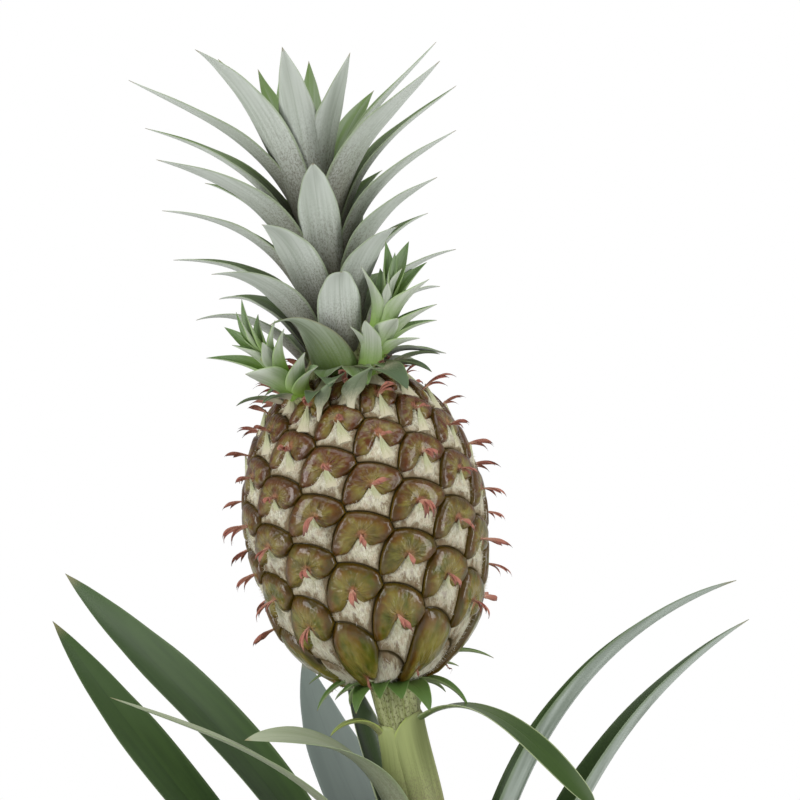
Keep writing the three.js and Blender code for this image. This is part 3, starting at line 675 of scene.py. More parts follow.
STALK_LEAVES = [  # kind, azimuth, root, reach, top, root angle, tip angle, width, roll, pull of the root
    ("stalk leaf", 18, 206, 66, 250, 72, -10, 14, 0, 0.45),
    ("stalk leaf", -170, 214, 60, 262, 72, -6, 14, 0, 0.45),
    ("pale stalk leaf", -66, 222, 108.5, 299.5, 66, 20, 11, -20, 0.45),
    ("stalk leaf", -128, 238, 33, 306, 72, 70, 19, 0, 0.45),
    ("pale stalk leaf", -62, 250, 63, 285, 78, -8, 19, -40, 0.5),
    ("arching stalk leaf", 62, 290, 70, 264, 34, -42, 12, 40, 0.4),
    ("bright stalk leaf", -80, 283, 24.5, 284, 66, -62, 8, 0, 0.6),
]
SHEATHS = [  # what clasps the stalk under the two highest leaves: kind, azimuth, root, reach, top, width
    ("clasping sheath", 64, 254, 8.6, 292, 32),
    ("clasping sheath", -72, 256, 7.7, 290, 28),
]


def stalk_leaves():
    """The short leaves of the stalk, and the sheaths of the two highest ones."""
    return listed(STALK_LEAVES, (*LEAF_WORDS, "root_pull"), STALK_OUTLINE[0][1], 7, thickness=0.9, rows=36) + listed(
        SHEATHS, ("azimuth", "root", "reach", "top", "width"), SHEATH_OUTLINE[0][1], 10, root_angle=88, tip_angle=84,
        lean=11.5, thickness=0.6, rows=24, columns=17)


finished("rosette_leaves", long_leaves(), [f"leaf_{i + 1}" for i in range(20)])
finished("stalk_leaves", stalk_leaves(), [f"stalk_leaf_{i + 1}" for i in range(7)])

COLLAR = [  # the bracts that hang under the fruit: tip as seen and its depth, and width
    ((317, 711, -12), 5), ((309, 684, -6), 4.5), ((356, 714, -17), 8), ((380, 700, -20), 8), ((402, 700, -18), 10),
    ((430, 712, -16), 9), ((469, 708, -8), 6.5), ((494, 658, -5), 6), ((459, 666, 6), 5), ((446, 692, 2), 6),
    ((335, 700, 4), 6), ((350, 706, 14), 8), ((385, 708, 18), 8), ((420, 706, 15), 8), ((341, 694, -15), 5.5),
]


def collar_bracts():
    return [leaf_to("collar bract", HEAD, tip, STALK_RADIUS - 1.5, -1.6 - 0.3 * i, width, (44, -46), thickness=0.8,
                    trough=0.3, seed=draw(i, 8), rows=20) for i, (tip, width) in enumerate(COLLAR)]


def stalk():
    """The stalk along its line, smooth through the line's knots."""
    xs, zs = zip(*STEM_LINE)
    heights = np.linspace(zs[0], zs[-1], 60)
    across = smoothed(np.interp(heights, zs, xs), 30)
    return stem(heights, [through(STEM_RADIUS, z) for z in heights], across, ribs=9.0, rib_height=0.02, sides=65,
                steps=104)


finished("stalk", [stalk()], ["stem"])
finished("collar_bracts", collar_bracts(), ["stem"])


# ---- The fruit ----

FRUIT_OUTLINE = [(10, -24), (10, -4), (17, 1.3), (25, 7.6), (32, 17.6), (35.4, 31), (37.8, 48), (37.2, 60),
                 (34.4, 72), (29.6, 82), (23, 90), (16, 95.2), (12.5, 100), (11.5, 112), (11.5, 128)]
FIRST_KNOT, LAST_KNOT, KNOT_STEPS = 2, 11, 40  # the part of the outline that the skin covers, and its fineness
FOOT_BULGE, HEAD_BULGE = 3.2, 2.6  # how far the skin's ends bulge past those knots
WHORLS = {"first": 39.5, "pitch": 7.3, "extra": 9.6, "fade": 1.3}  # where the rows of eyes are along the outline
EYES_ROUND, LAST_WHORL, LAST_GROWTH = 7, 14, 12  # eyes in a whorl, the highest whorl, the highest with a bract's tip
WHORL_STEP = 360 / EYES_ROUND
FRONT_TURN, WHORL_TURN = -20, -21.3
# An eye's corners, in degrees and whorls from its middle. Each of c to f is a corner a or b of a neighbour.
CORNER = {"a": (14.6, 0.55), "b": (-5.4, 1.12), "c": (14.6 - 30.13, 0.55 - 1), "d": (-5.4 - 8.83, 1.12 - 2),
          "e": (14.6 - 8.83, 0.55 - 2), "f": (-5.4 + 21.3, 1.12 - 1)}
BOWS = {"cb": (-1.4, 0.14), "ef": (-1.4, 0.14), "ba": (0, 0.16), "de": (0, 0.16)}  # how far an edge bows
EYE_SIZE = np.array((0.63, 7.6))  # millimetres for a degree and for a whorl in the middle of the fruit
LOWEST_MIDDLE, LOWEST_APEX = -2.3, -0.75  # where a lowest eye's bract ends, from the usual middle of an eye
LOWEST_SIDE, LOWEST_FOOT = (-20.5, -0.95), -3.4  # a lowest eye's left corner, and how far down its bract runs
GROOVE, DOME_HEIGHT = -1.0, 1.6
DIMPLE_DEPTH, DIMPLE_RADIUS = 1.0, 1.8  # round the flower's foot


def fruit_line():
    """The fruit's outline as a line from pole to pole, and how much shorter it starts than the solid's."""
    knots = np.array(FRUIT_OUTLINE, dtype=float)
    padded = np.vstack([knots[:1], knots, knots[-1:]])
    line = []
    for p0, p1, p2, p3 in zip(padded[:-3], padded[1:-2], padded[2:-1], padded[3:]):
        v0, v1 = (p2 - p0) / 2, (p3 - p1) / 2
        for t in np.linspace(0, 1, KNOT_STEPS, endpoint=False):
            line.append((2 * p1 - 2 * p2 + v0 + v1) * t ** 3 + (-3 * p1 + 3 * p2 - 2 * v0 - v1) * t * t + v0 * t + p1)
    line, start = np.array(line), FIRST_KNOT * KNOT_STEPS
    (low, foot), (high, head) = knots[FIRST_KNOT], knots[LAST_KNOT]
    quarter = np.linspace(0, math.pi / 2, 12)
    under = [(low * math.sin(a), foot - FOOT_BULGE * math.cos(a)) for a in quarter[:-1]]
    over = [(high * math.cos(a), head + HEAD_BULGE * math.sin(a)) for a in quarter[1:]]
    whole = np.vstack([under, line[start:LAST_KNOT * KNOT_STEPS + 1], over])
    shorter = steps_of(line[:start + 1]).sum() - steps_of(whole[:len(under) + 1]).sum()
    return helper("fruit outline", line_mesh("fruit outline", *whole.T)), shorter


FRUIT_LINE, FRUIT_OFFSET = fruit_line()


def wrap_tree(name, true_size):
    """Sets a small flat pattern on every eye's place and bends it round the fruit. A pattern is in degrees, whorls
    and millimetres of height, or of true size: all in millimetres from the eye's middle."""
    tree, size = new_tree(name, (*WHORLS, "offset"), (), ("outline", "pattern"))
    line = line_of(shape_of(size["outline"]))
    copies = made(tree, "GeometryNodeInstanceOnPoints", Points=size["Geometry"], Instance=shape_of(size["pattern"]),
                  Rotation=vector(0.0, 0.0, kept(tree, "turn", "FLOAT")), Scale=kept(tree, "scale"))
    x, y, height = position(tree)
    azimuth, whorl, bulge = split(kept(tree, "cell"))

    def along_outline(at, further=0.0):
        swelling = 1 - worked("EXPONENT", most(at, 0.0) / size["fade"] * -1.0)
        place = size["first"] + at * size["pitch"] + least(at, 0.0) * size["extra"]
        place = place + swelling * size["extra"] * size["fade"] - size["offset"] + further
        return add(tree, "GeometryNodeSampleCurve", Curves=line, Length=most(place, 0.0), mode="LENGTH")

    if true_size:
        middle, _, _ = split(out(along_outline(whorl), "Position"))
        azimuth = azimuth * DEGREE + x / most(middle, 4.0)
        spot = along_outline(whorl, y)
    else:
        azimuth = (azimuth + x) * DEGREE
        spot = along_outline(whorl + y)
        height = most(height, 0.0) * bulge + least(height, 0.0)  # all grooves are alike, so the seams meet
    radius, _, z = split(out(spot, "Position"))
    out_along, _, up_along = split(out(spot, "Tangent"))
    reach = most(radius + up_along * height * least(radius / 3.0, 1.0), 0.0)
    place = vector(sine(azimuth) * reach, cosine(azimuth) * reach * -1.0, z - out_along * height)
    ended(moved(real(copies), place))
    return tree


SKIN_WRAP, GROWTH_WRAP = wrap_tree("skin round the fruit", False), wrap_tree("growth round the fruit", True)


def wrapped(tree, pattern, eyes, turn=None, scale=None):
    """A pattern on the eyes, each (azimuth, whorl, bulge), as one mesh in the plant's frame."""
    count = len(eyes)
    turn = np.zeros(count) if turn is None else turn
    scale = np.ones((count, 3)) if scale is None else scale
    start = plain_mesh("eyes", np.zeros((count, 3)), cell=eyes, turn=turn, scale=scale)
    mesh = grown(tree, start, offset=FRUIT_OFFSET, outline=FRUIT_LINE, pattern=helper("pattern", pattern), **WHORLS)
    mesh.transform(HEAD)
    return mesh


def eyes_of(first, last):
    """The places of the eyes in these whorls: azimuth, whorl and how far they bulge."""
    return np.array([(FRONT_TURN + WHORL_STEP * k + WHORL_TURN * j, j, through([(4, 1), (12, 0.55)], j))
                     for j in range(first, last + 1) for k in range(EYES_ROUND)], dtype=float)


def growth_places(rise):
    """The places of what grows at the bracts' ends. The lowest ones sit lower and a little to the left."""
    eyes = eyes_of(0, LAST_GROWTH)
    lowest = eyes[:, 1] == 0
    eyes[:, 0] += lowest * LOWEST_MIDDLE
    eyes[:, 1] += np.where(lowest, LOWEST_APEX + 0.1 + rise, rise)
    return eyes


def border(corners, counts):
    """Points along a part of an eye's border, some of whose edges bow."""
    line = []
    for start, end, count in zip(corners, corners[1:], counts):
        p, q, bow = map(np.array, (CORNER[start], CORNER[end], BOWS.get(start + end, (0, 0))))
        line += [p + (q - p) * t + bow * 4 * t * (1 - t) for t in np.arange(count) / count]
    return np.array(line + [CORNER[corners[-1]]])


def usual_border():
    """A dome takes the top of the border and a little of both sides, its bract takes the rest."""
    loop_up, loop_down = border("cbaf", (9, 8, 3)), border("cdef", (3, 8, 9))
    upper = np.vstack([loop_down[1:2], loop_up, loop_down[-2:-5:-1]])
    return upper, loop_down[1:-3]


def lowest_border():
    """The lowest eyes are wide tents. Their bracts run under the fruit, and on the right up to the eye above."""
    crest = border("ba", (8,)) + (-WHORL_TURN, -1)  # from the corner f to the right neighbour's corner c
    left = np.linspace(LOWEST_SIDE, CORNER["c"], 4)[:-1]
    right = left + (WHORL_STEP, 0)
    down = np.linspace(0, 1, 4)[1:, None]
    low_left, low_right = np.array((left[0, 0], LOWEST_FOOT)), np.array((right[0, 0], LOWEST_FOOT))
    lower = np.vstack([left[0], left[0] + (low_left - left[0]) * down,
                       low_left + (low_right - low_left) * np.linspace(0, 1, 5)[1:-1, None],
                       low_right, low_right + (right[0] - low_right) * down, right[1:], crest[::-1]])
    return np.vstack([left, border("cbaf", (9, 8, 3))]), lower


BRACT_ROWS = (0, 0.06, 0.16, 0.4, 0.65, 0.86, 0.96)
DOME_ROWS = (0, 0.04, 0.12, 0.25, 0.42, 0.6, 0.76, 0.87, 0.94, 0.98, 1)


def eye_pattern(name, apex, upper, lower, sag=0.05, middle=0.0):
    """One eye: a dome over a bract. The bract's upper edge rises to a pointed apex and sags on both sides of it."""
    count = len(upper)
    s = np.linspace(-1, 1, count)
    step = np.linspace(0, len(lower) - 1, count)
    even = np.column_stack([np.interp(step, np.arange(len(lower)), lower[:, n]) for n in (0, 1)])
    snapped = lower[np.round(step).astype(int)]
    tent = np.outer((1 - s) / 2, upper[0]) + np.outer((1 + s) / 2, upper[-1])
    rise = np.clip(1 - abs(s) / 0.5, 0, 1) ** 1.35
    tent[:, 1] += (apex - tent[count // 2, 1]) * rise - sag * np.sin(np.pi * abs(s))
    broad = 1 - abs(s) ** 7
    low_edge = GROOVE + (GROOVE * 0.3 - GROOVE) * broad
    flower_foot = np.array((middle, apex + 0.12))
    rows = []
    for v in BRACT_ROWS:
        at = snapped if v == 0 else even + (tent - even) * v
        raised = 1 - (1 - min(v / 0.25, 1)) ** 3
        top = 0.2 + 1.0 * np.exp(-(s / 0.22) ** 2) * v  # a keel in the middle
        fall = max(0, (v - 0.8) / 0.2) ** 2
        height = GROOVE + (top - GROOVE) * raised * broad - (top - low_edge) * fall * broad * (1 - rise) * 0.8
        rows.append(np.column_stack([at, height]))
    for v in DOME_ROWS:
        at = tent + (upper - tent) * v
        base = low_edge + (GROOVE - low_edge) * v
        near = np.hypot(*((at - flower_foot) * EYE_SIZE).T)
        top = DOME_HEIGHT - DIMPLE_DEPTH * np.exp(-(near / DIMPLE_RADIUS) ** 2)
        rows.append(np.column_stack([at, base + (top - base) * (1 - abs(2 * v - 1) ** 7) * broad]))
    edge = np.vstack([upper, lower[::-1]]) * EYE_SIZE
    fine = np.vstack([edge[:-1] + (edge[1:] - edge[:-1]) * t for t in np.linspace(0, 1, 8)])
    points, faces = np.vstack(rows), grid_faces(len(rows), count)
    spots = points[:, :2] * EYE_SIZE
    rim = [np.hypot(*(fine - spot).T).min() for spot in spots]
    mesh = plain_mesh(name, points, faces, place=np.column_stack([spots - flower_foot * EYE_SIZE, rim]))
    for finish in (DOME_FINISH, BRACT_FINISH):
        mesh.materials.append(finish)
    mesh.polygons.foreach_set("material_index", [int(face[0] < count * len(BRACT_ROWS)) for face in faces])
    return mesh


def own_eye(tree):
    """The whorl of the eye that a point is on, and a number that sets its noise apart from that on other eyes."""
    azimuth, whorl, _ = split(read(tree, "cell"))
    return whorl, azimuth * 0.37 + whorl * 3.1


def dome_finish():
    """The glossy eye: olive, browner up the fruit, drawn into folds round the flower's pink foot. It darkens to its
    rim, partly its own brown and partly painted shade, and its folds and middle are lighter, partly painted sheen.
    """
    material, tree = new_finish("glossy_eye", 0.28, Specular_IOR_Level=0.28, Coat_Weight=0.35, Coat_Roughness=0.06)
    x, y, rim = split(read(tree, "place"))
    whorl, seed = own_eye(tree)
    off, angle = (x * x + y * y) ** 0.5, worked("ARCTAN2", y, x)
    folds = noise(vector(cosine(angle) * 1.6, sine(angle) * 1.6, seed + off * 0.12), 1.6, 2.0, 0.6)
    patches = noise(vector(x * 0.22, y * 0.22, seed), 1.0)
    pores = noise(vector(x, y, seed), 4.0, 2.0, 0.6)
    colour = layered(
        "484c04", (ramp(patches, 0.36, 0.6), "604002"), (ramp(whorl, 0.5, 7.5) * 0.95, "4e1c02"),
        # lighter grey-green in the folds: partly the skin's own colour and partly painted sheen
        (ramp(folds, 0.48, 0.7) * 0.45, "7c7a34"),
        (ramp(off, 4.2, 1.0) * ramp(folds, 0.35, 0.6) * 0.35, "8c5432"), (ramp(off, 2.2, 0.5) * 0.85, "b5705a"),
        # a lighter middle on each dome: painted sheen
        (ramp(rim, 1.5, 5.0) * ramp(patches, 0.3, 0.6) * 0.5, "84823c"),
        # darker towards the rim: partly the eye's own brown and partly painted shade between the domes
        (ramp(rim, 2.8, 0.7) * 0.75, "3e2a04"), (ramp(rim, 0.5, 0.1) * 0.7, "5a4a10"))
    return coloured(material, colour, folds * ramp(off, 9.0, 1.5) * 1.3 + patches * 1.4 + pores * 0.03, 0.0016, 0.9)


def bract_finish():
    """The bract under the eye: cream and woolly, green to its apex, brown to its edges."""
    material, tree = new_finish("woolly_bract", 0.85, Specular_IOR_Level=0.15)
    x, y, rim = split(read(tree, "place"))
    _, seed = own_eye(tree)
    fibres = noise(vector(x, y * 0.3, seed), 2.8, 3.0, 0.75)
    patches = noise(vector(x * 0.45, y * 0.35, seed), 1.0)
    specks = noise(vector(x, y, seed), 3.6, 2.0, 0.7)
    frayed = rim + (fibres + patches - 1.0) * 7.0
    colour = layered(
        "f4f2e0", (ramp(fibres, 0.34, 0.64), "cbc5a6"), (ramp(patches, 0.5, 0.68) * 0.4, "b09070"),
        (ramp(patches, 0.42, 0.3) * 0.35, "a58a92"), (ramp(specks, 0.56, 0.72) * 0.45, "75684a"),
        (ramp(y, -5.0, -0.5) * ramp(size_of(x), 3.4, 0.8) * 0.6, "a9b083"),
        (ramp(frayed, 2.6, 0.6) * 0.8, "74582c"), (ramp(rim, 0.6, 0.1) * 0.8, "4a3c0c"))
    return coloured(material, colour, fibres + specks * 0.6, 0.0012, 0.9)


DOME_FINISH, BRACT_FINISH = dome_finish(), bract_finish()


def fruit_skin():
    """The eyes in four bands. The higher the band, the higher on its eye each bract's apex reaches."""
    lowest = eye_pattern("lowest eye", LOWEST_APEX, *lowest_border(), 0.45, LOWEST_MIDDLE)
    return [wrapped(SKIN_WRAP, lowest, eyes_of(0, 0))] + [
        wrapped(SKIN_WRAP, eye_pattern("eye", apex, *usual_border()), eyes_of(first, last))
        for first, last, apex in ((1, 3, -0.1), (4, 7, -0.02), (8, LAST_WHORL, 0.15))]


def closed(piece, distance):
    """Closes the seams between a piece's parts. The distance is in metres, like the piece."""
    tree, size = new_tree("weld", ("distance",))
    ended(size["Geometry"], None, size["distance"])
    piece.data = grown(tree, piece.data.copy(), distance=distance)
    return piece


fruit_piece = closed(finished("fruit_skin", fruit_skin(), ["fruit"], sharp=0), 0.00003)


def growth_finish(name, low, high, streak, end):
    """Dry or fleshy growth on an eye: its colour runs from foot to tip, with streaks along it."""
    material, tree = new_finish(name, 0.6, Specular_IOR_Level=0.3)
    along, x, y = split(read(tree, "growth"))
    _, seed = own_eye(tree)
    streaks = noise(vector(x * 2.6, along * 1.4, seed + y), 1.5, 3.0, 0.6)
    colour = layered(low, (ramp(along + streaks * 0.4, 0.2, 0.8), high), (ramp(streaks, 0.5, 0.68) * 0.6, streak),
                     (ramp(along, 0.72, 0.98) * 0.8, end))
    return coloured(material, colour, streaks, 0.0004, 0.7)


def strand(start, bend, length, width, seed):
    """One strand of a dry flower: flat and twisted, slim at its foot, swollen higher up, its tip bent over."""
    rings, sides = 12, 6
    points, growth = [], []
    for r in range(rings):
        t = r / (rings - 1)
        x, y, z = start[0] + bend[0] * t ** 1.5, start[1] + bend[1] * t ** 2.0, 0.2 + length * (t - 0.3 * t ** 3)
        wide = width * (0.5 + 0.75 * math.sin(math.pi * min(t * 1.1, 1) ** 1.6)) * (1 - t ** 8 * 0.5)
        twist = seed * 3 + 2.0 * t
        for k in range(sides):
            turn = 2 * math.pi * k / sides
            a, b = math.cos(turn) * wide, math.sin(turn) * wide * 0.42
            points.append((x + a * math.cos(twist) - b * math.sin(twist),
                           y + a * math.sin(twist) + b * math.cos(twist), z))
            growth.append((t, math.cos(turn), seed))
    last = len(points) - sides
    faces = []
    for ring in range(0, last, sides):
        faces += [(ring + k, ring + (k + 1) % sides, ring + sides + (k + 1) % sides, ring + sides + k)
                  for k in range(sides)]
    faces += [tuple(range(sides))[::-1], tuple(range(last, last + sides))]
    return points, growth, faces


def joined_growth(name, parts, finish):
    points, growth, faces = [], [], []
    for more, values, loops in parts:
        faces += [tuple(v + len(points) for v in loop) for loop in loops]
        points += more
        growth += values
    mesh = plain_mesh(name, points, faces, growth=growth)
    mesh.materials.append(finish)
    return mesh


STRANDS = (3, 3, 4, 2)  # in each kind of dry flower


def dry_flowers():
    """Four kinds of dry flower, each of a few strands that part at their tips, turned and sized at random."""
    picker, finish = np.random.default_rng(5), growth_finish("dry_flower", "c79c84", "a06a58", "96384a", "55403a")
    eyes = growth_places(0.1)
    kind = picker.integers(0, len(STRANDS), len(eyes))
    turn = picker.normal(0.1, 0.5, len(eyes))
    scale = np.repeat(picker.uniform(0.8, 1.25, len(eyes)) * np.where(eyes[:, 1] < 0, 0.5, 1), 3).reshape(-1, 3)
    meshes = []
    for n, strands in enumerate(STRANDS):
        shape = np.random.default_rng(20 + n)
        bend, length = shape.uniform((-0.6, -4.6), (2.8, -0.6)), shape.uniform(11.5, 14.5)
        parts = [strand(shape.uniform(-0.2, 0.2, 2), bend + shape.uniform(-1.3, 1.3, 2),
                        length * shape.uniform(0.6, 1.05), shape.uniform(0.45, 0.7), shape.uniform(0, 6))
                 for _ in range(strands)]
        meshes.append(wrapped(GROWTH_WRAP, joined_growth("dry flower", parts, finish), eyes[kind == n],
                              turn[kind == n], scale[kind == n]))
    return meshes


def claw():
    """The bract's tip: a small tongue that rises over its keel, thin at the edges."""
    rows, count = 10, 9
    points, growth = [], []
    for under in (0, 1):
        for r in range(rows):
            t = r / (rows - 1)
            wide = 2.6 * (1 - t) ** 1.3 + 0.5 * (1 - t) ** 0.5
            for n in range(count):
                s = math.sin(math.pi / 2 * (2 * n / (count - 1) - 1))
                height = 0.55 + 1.1 * t ** 1.5 - abs(s) ** 1.5 * (0.75 - 0.45 * t)
                height -= under * 0.6 * (1 - 0.6 * s * s) * (1 - 0.6 * t)
                points.append((s * wide, -4.8 + 5.6 * t, height))
                growth.append((t, s, 0.0))
    layer = rows * count
    rim = [*range(count), *range(2 * count - 1, layer, count), *range(layer - 2, layer - count - 1, -1),
           *range(layer - 2 * count, 0, -count)]
    faces = grid_faces(rows, count) + [(a, d, c, b) for a, b, c, d in grid_faces(rows, count, layer)]
    faces += [(b, a, layer + a, layer + b) for a, b in zip(rim, rim[1:] + rim[:1])]
    return points, growth, faces


def bract_claws():
    """The bracts' tips, taller up the fruit, turned and sized a little at random."""
    picker, finish = np.random.default_rng(8), growth_finish("bract_claw", "b9b299", "aaae88", "98906e", "c8bfa6")
    eyes = growth_places(0.0)
    wide = picker.uniform(0.85, 1.15, len(eyes))
    tall = np.array([through([(0, 0.7), (5, 0.95), (8, 1.35), (12, 1.8)], whorl) for whorl in eyes[:, 1]])
    scale = np.column_stack([wide, tall * picker.uniform(0.9, 1.1, len(eyes)), tall])
    turn = picker.normal(0, 0.12, len(eyes))
    return [wrapped(GROWTH_WRAP, joined_growth("claw", [claw()], finish), eyes, turn, scale)]


finished("dry_flowers", dry_flowers(), ["fruit"])
finished("bract_claws", bract_claws(), ["fruit"], sharp=60)


# ---- Hairs and crumbs ----

HAIR = ([(0.05, 0, -0.1), (-0.03, 0.04, -0.1), (-0.03, -0.04, -0.1), (0.03, 0, 0.6), (-0.015, 0.03, 0.6),
         (-0.015, -0.03, 0.6), (0.12, 0, 1.15)],
        [(0, 1, 4, 3), (1, 2, 5, 4), (2, 0, 3, 5), (3, 4, 6), (4, 5, 6), (5, 3, 6), (2, 1, 0)])
CRUMB = ([(0, 0, 1), (0.9, 0.1, 0.3), (0.2, 0.9, 0.2), (-0.8, 0.4, 0.3), (-0.5, -0.8, 0.2), (0.5, -0.8, 0.4),
          (0.6, 0.5, -0.6), (-0.4, 0.6, -0.7), (-0.6, -0.3, -0.7), (0.4, -0.5, -0.8)],
         [(0, 1, 2), (0, 2, 3), (0, 3, 4), (0, 4, 5), (0, 5, 1), (1, 6, 2), (2, 6, 7), (2, 7, 3),
          (3, 7, 8), (3, 8, 4), (4, 8, 9), (4, 9, 5), (5, 9, 1), (1, 9, 6), (6, 9, 8), (6, 8, 7)])


def scattered(name, shape, ground, finish, turns, sizes, size_seed, standing, **amounts):
    """A small shape on random points of a ground, turned and sized at random. Hairs stand on it, crumbs lie anyhow."""
    tree, size = new_tree(name, ("density", "size"), ("seed",), ("shape",))
    spread = add(tree, "GeometryNodeDistributePointsOnFaces", Mesh=size["Geometry"], Density=size["density"],
                 Seed=size["seed"])
    points, turn = out(spread), made(
        tree, "FunctionNodeRandomValue", Min=turns[0], Max=turns[1], data_type="FLOAT_VECTOR")
    scale = made(tree, "FunctionNodeRandomValue", "Value", Min=sizes[0], Max=sizes[1], Seed=size_seed,
                 data_type="FLOAT")
    if standing:
        turn = made(tree, "FunctionNodeRotateRotation", Rotation=out(spread, "Rotation"), Rotate_By=turn,
                    rotation_space="LOCAL")
        points = stored(points, "hair", vector(0.0, 0.0, scale - 0.3))
    copies = made(tree, "GeometryNodeInstanceOnPoints", Points=points, Instance=shape_of(size["shape"]),
                  Rotation=turn, Scale=scale * size["size"])
    ended(copies, finish, 0.0)
    return grown(tree, ground, shape=helper(name, plain_mesh(name, *shape)), **amounts)


def hair_finish():
    """Straw-coloured to white, by each hair's own number."""
    material, tree = new_finish("bract_hair", 0.7, Specular_IOR_Level=0.3)
    _, _, pale = split(read(tree, "hair"))
    return coloured(material, layered("c4b89a", (pale, "efece0")))


def fruit_hairs(skin):
    """Hairs on the bracts alone, away from the grooves."""
    place = np.empty(len(skin.vertices) * 3, dtype=np.float32)
    skin.attributes["place"].data.foreach_get("vector", place)
    rim = place[2::3]
    woolly = [tuple(face.vertices) for face in skin.polygons if skin.materials[face.material_index] == BRACT_FINISH
              and min(rim[v] for v in face.vertices) > 0.7]
    ground = plain_mesh("bracts", [1000 * v.co for v in skin.vertices], woolly)
    return scattered("hairs", HAIR, ground, hair_finish(), ((0.1, -0.75, -3.1), (0.9, 0.75, 3.1)), (0.5, 1.2), 2,
                     True, density=1.0, size=1.1, seed=11)


finished("fruit_hairs", [fruit_hairs(fruit_piece.data)], ["fruit"], sharp=0)


# ---- The pot and the soil ----

def turned_tree(name, finish, drilled=False):
    """An outline turned round the upright axis. The pot's tree also drills its drain holes."""
    numbers, counts = (("hole radius", "hole ring"), ("holes",)) if drilled else ((), ())
    tree, size = new_tree(name, ("wobble", *numbers), ("sides", "steps", *counts), ("outline",))
    x, y, _ = position(tree)
    turn = x * 2 * math.pi
    radius, _, z = split(made(tree, "GeometryNodeSampleCurve", "Position", Curves=line_of(shape_of(size["outline"])),
                              Factor=y + 0.5, mode="FACTOR"))
    radius = radius * (1 + sine(turn * 2.0 + z * 0.03) * size["wobble"])
    whole = welded(moved(grid(tree, size), vector(cosine(turn) * radius, sine(turn) * radius, z)), 0.01)
    if drilled:
        drill = made(tree, "GeometryNodeMeshCylinder", Vertices=24, Radius=size["hole radius"], Depth=20.0)
        ring = made(tree, "GeometryNodeMeshCircle", Vertices=size["holes"], Radius=size["hole ring"])
        drills = real(made(tree, "GeometryNodeInstanceOnPoints", Points=ring, Instance=drill))
        drills = made(tree, "GeometryNodeTransform", Geometry=drills, Rotation=(0, 0, math.pi / 4))
        whole = made(tree, "GeometryNodeMeshBoolean", Mesh_1=whole, Mesh_2=drills, operation="DIFFERENCE")
    ended(whole, finish)
    return tree


def outline_helper(name, corners, count):
    """An outline with its corners rounded a little, as a line of even steps."""
    corners = np.array(corners, dtype=float)
    lengths = np.concatenate([[0], np.cumsum(steps_of(corners))])
    at = np.linspace(0, lengths[-1], count)
    line = np.column_stack([np.interp(at, lengths, column) for column in corners.T])
    return helper(name, line_mesh(name, *smoothed(line, 2).T))


def clay_finish():
    """Fired clay: grain, faint turning lines, and pale lime that grows towards the foot."""
    material, tree = new_finish("fired_clay", 0.85, Specular_IOR_Level=0.25)
    place = place_on(tree)
    x, y, z = split(place)
    grit, cloud = noise(place, 900.0, 3.0, 0.7), noise(place, 28.0, 4.0, 0.6)
    lines = noise(vector(x * 0.08, y * 0.08, z), 700.0)
    colour = layered("b5683f", (ramp(cloud, 0.35, 0.7), "a0542f"), (ramp(grit, 0.55, 0.7) * 0.5, "8f4a2b"),
                     (ramp(lines, 0.5, 0.7) * 0.25, "c9855c"), (ramp(cloud + z * -8.0, 0.1, 0.75) * 0.5, "d0a689"))
    return coloured(material, colour, grit * 0.5 + lines, 0.0004, 0.5)


def soil_finish():
    """Dark peat with fibres and a few pale crumbs."""
    material, tree = new_finish("peat", 0.95, Specular_IOR_Level=0.15)
    crumbs, cloud = noise(place_on(tree), 420.0, 4.0, 0.75), noise(place_on(tree), 60.0, 3.0, 0.6)
    colour = layered("2c1e14", (ramp(cloud, 0.35, 0.7), "463222"), (ramp(crumbs, 0.55, 0.72) * 0.7, "6a4d34"))
    return coloured(material, colour, crumbs + cloud * 0.5, 0.0012, 0.9)


POT_OUTLINE = [(0, 0), (45, 0), (47, 2), (66, 94), (70, 97), (70, 118), (69.4, 119.4), (68, 120), (65, 120),
               (64, 118), (61, 92), (42, 9), (39, 6), (0, 6)]
SOIL_OUTLINE = [(0, 6.3), (38.4, 6.3), (41.4, 9.3), (60.4, 92), (62, 104.7), (50, 105.6), (25, 107), (0, 108.5)]
SOIL_RIM = (61, 104)  # only inside this radius and above this height is the bed rough
CRUMBS_RIM = (59, 105.6)  # radius and height of the round on which the crumbs are strewn


def pot():
    return grown(turned_tree("pot", clay_finish(), True), wobble=0.0012, hole_radius=5.0, hole_ring=26.0, holes=4,
                 sides=97, steps=160, outline=outline_helper("pot outline", POT_OUTLINE, 400))


def soil():
    finish, picker = soil_finish(), np.random.default_rng(3)
    bed = grown(turned_tree("soil", finish), wobble=0.0, sides=129, steps=110,
                outline=outline_helper("soil outline", SOIL_OUTLINE, 200))
    for vertex in bed.vertices:
        if vertex.co.xy.length < SOIL_RIM[0] and vertex.co.z > SOIL_RIM[1]:
            vertex.co.z += picker.uniform(-1.2, 0.6)
    radius, height = CRUMBS_RIM
    top = plain_mesh("soil top", [(radius * math.cos(a), radius * math.sin(a), height)
                                  for a in np.linspace(0, 6.19, 60)], [tuple(range(60))])
    return [bed, scattered("crumbs", CRUMB, top, finish, ((0, 0, 0), (6.3, 6.3, 6.3)), (0.35, 1.3), 4, False,
                           density=0.13, size=1.5, seed=7)]


finished("clay_pot", [pot()], ["pot"], sharp=40)
finished("potting_soil", soil(), ["soil"], sharp=0)


# ---- Floor, light and camera ----

WHITE = (1, 1, 1, 1)
SENSOR = 36  # the camera's film, in millimetres
FLOOR_RADIUS, FADE_FROM, FADE_TO = 2.4, 0.6, 1.5  # metres
MIDDLE = Vector((-0.01, 0, 0.38))  # what the lamps face, in metres


def blended(tree, share, first, second, end):
    """Ends a tree of shaders with a mix of two of them."""
    blend = tree.nodes.new("ShaderNodeMixShader")
    for socket, value in zip(blend.inputs, (share, first, second)):
        feed(socket, value)
    feed(tree.nodes[end].inputs["Surface"], out(blend))


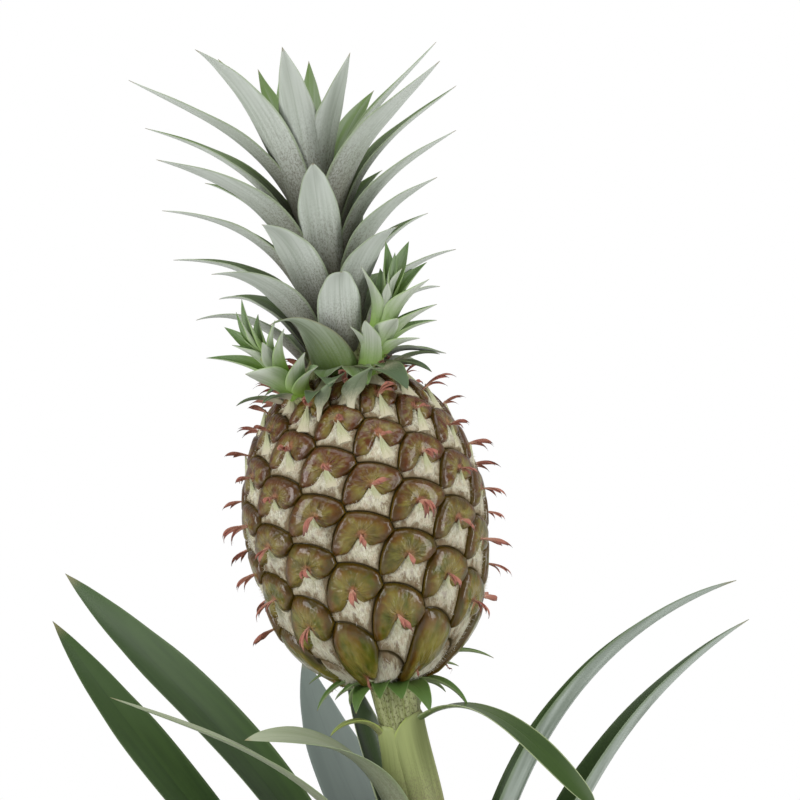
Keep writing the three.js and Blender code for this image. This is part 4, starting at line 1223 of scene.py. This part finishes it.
def floor_finish():
    """Pale floor that fades into the white round it, by distance from the pot."""
    material, tree = new_finish("pale_floor", 0.9, Specular_IOR_Level=0.1, Base_Color=(0.8, 0.8, 0.8, 1))
    x, y, _ = split(place_on(tree))
    far = ramp((x * x + y * y) ** 0.5, FADE_FROM, FADE_TO)
    glow = made(tree, "ShaderNodeEmission", Color=WHITE, Strength=1.0)
    blended(tree, far, out(tree.nodes["Principled BSDF"]), glow, "Material Output")
    return material


def floor():
    tree, size = new_tree("floor", ("radius",))
    ended(made(tree, "GeometryNodeMeshCircle", Vertices=96, Radius=size["radius"], fill_type="NGON"), floor_finish())
    slab = bpy.data.objects.new("floor", grown(tree, radius=FLOOR_RADIUS))
    bpy.context.scene.collection.objects.link(slab)


def soft_light(name, place, width, height, power):
    """A lamp like a window or a panel. The camera doesn't see it."""
    light = bpy.data.lights.new(name, "AREA")
    light.shape, light.size, light.size_y, light.energy = "RECTANGLE", width, height, power
    lamp = bpy.data.objects.new(name, light)
    lamp.visible_camera = False
    lamp.location = place
    lamp.rotation_euler = (MIDDLE - Vector(place)).to_track_quat("-Z", "Y").to_euler()
    bpy.context.scene.collection.objects.link(lamp)


floor()
soft_light("left window", (-1.5, -0.9, 0.75), 0.5, 1.5, 22)
soft_light("right window", (1.5, -0.7, 0.7), 0.5, 1.5, 20)
soft_light("top panel", (0.0, -0.4, 1.9), 1.4, 1.4, 16)

scene = bpy.context.scene
scene.world = bpy.data.worlds.new("white room")
scene.world.use_nodes = True
sky = scene.world.node_tree
sky.nodes["Background"].inputs["Strength"].default_value = 0.42
sky.nodes["Background"].inputs["Color"].default_value = WHITE
backdrop = made(sky, "ShaderNodeBackground", Color=WHITE, Strength=1.0)
seen = made(sky, "ShaderNodeLightPath", "Is Camera Ray")
blended(sky, seen, out(sky.nodes["Background"]), backdrop, "World Output")
scene.view_settings.view_transform = "Standard"

camera = bpy.data.objects.new("camera", bpy.data.cameras.new("camera"))
camera.data.sensor_width = SENSOR
camera.data.lens = SENSOR * -CAMERA[1] / (PICTURE * MM_PER_PIXEL)
camera.data.clip_end = 20
camera.location = [place / 1000 for place in CAMERA]
camera.rotation_euler = (math.pi / 2, 0, 0)
scene.collection.objects.link(camera)
scene.camera = camera

for lent in helpers:
    bpy.data.objects.remove(lent)
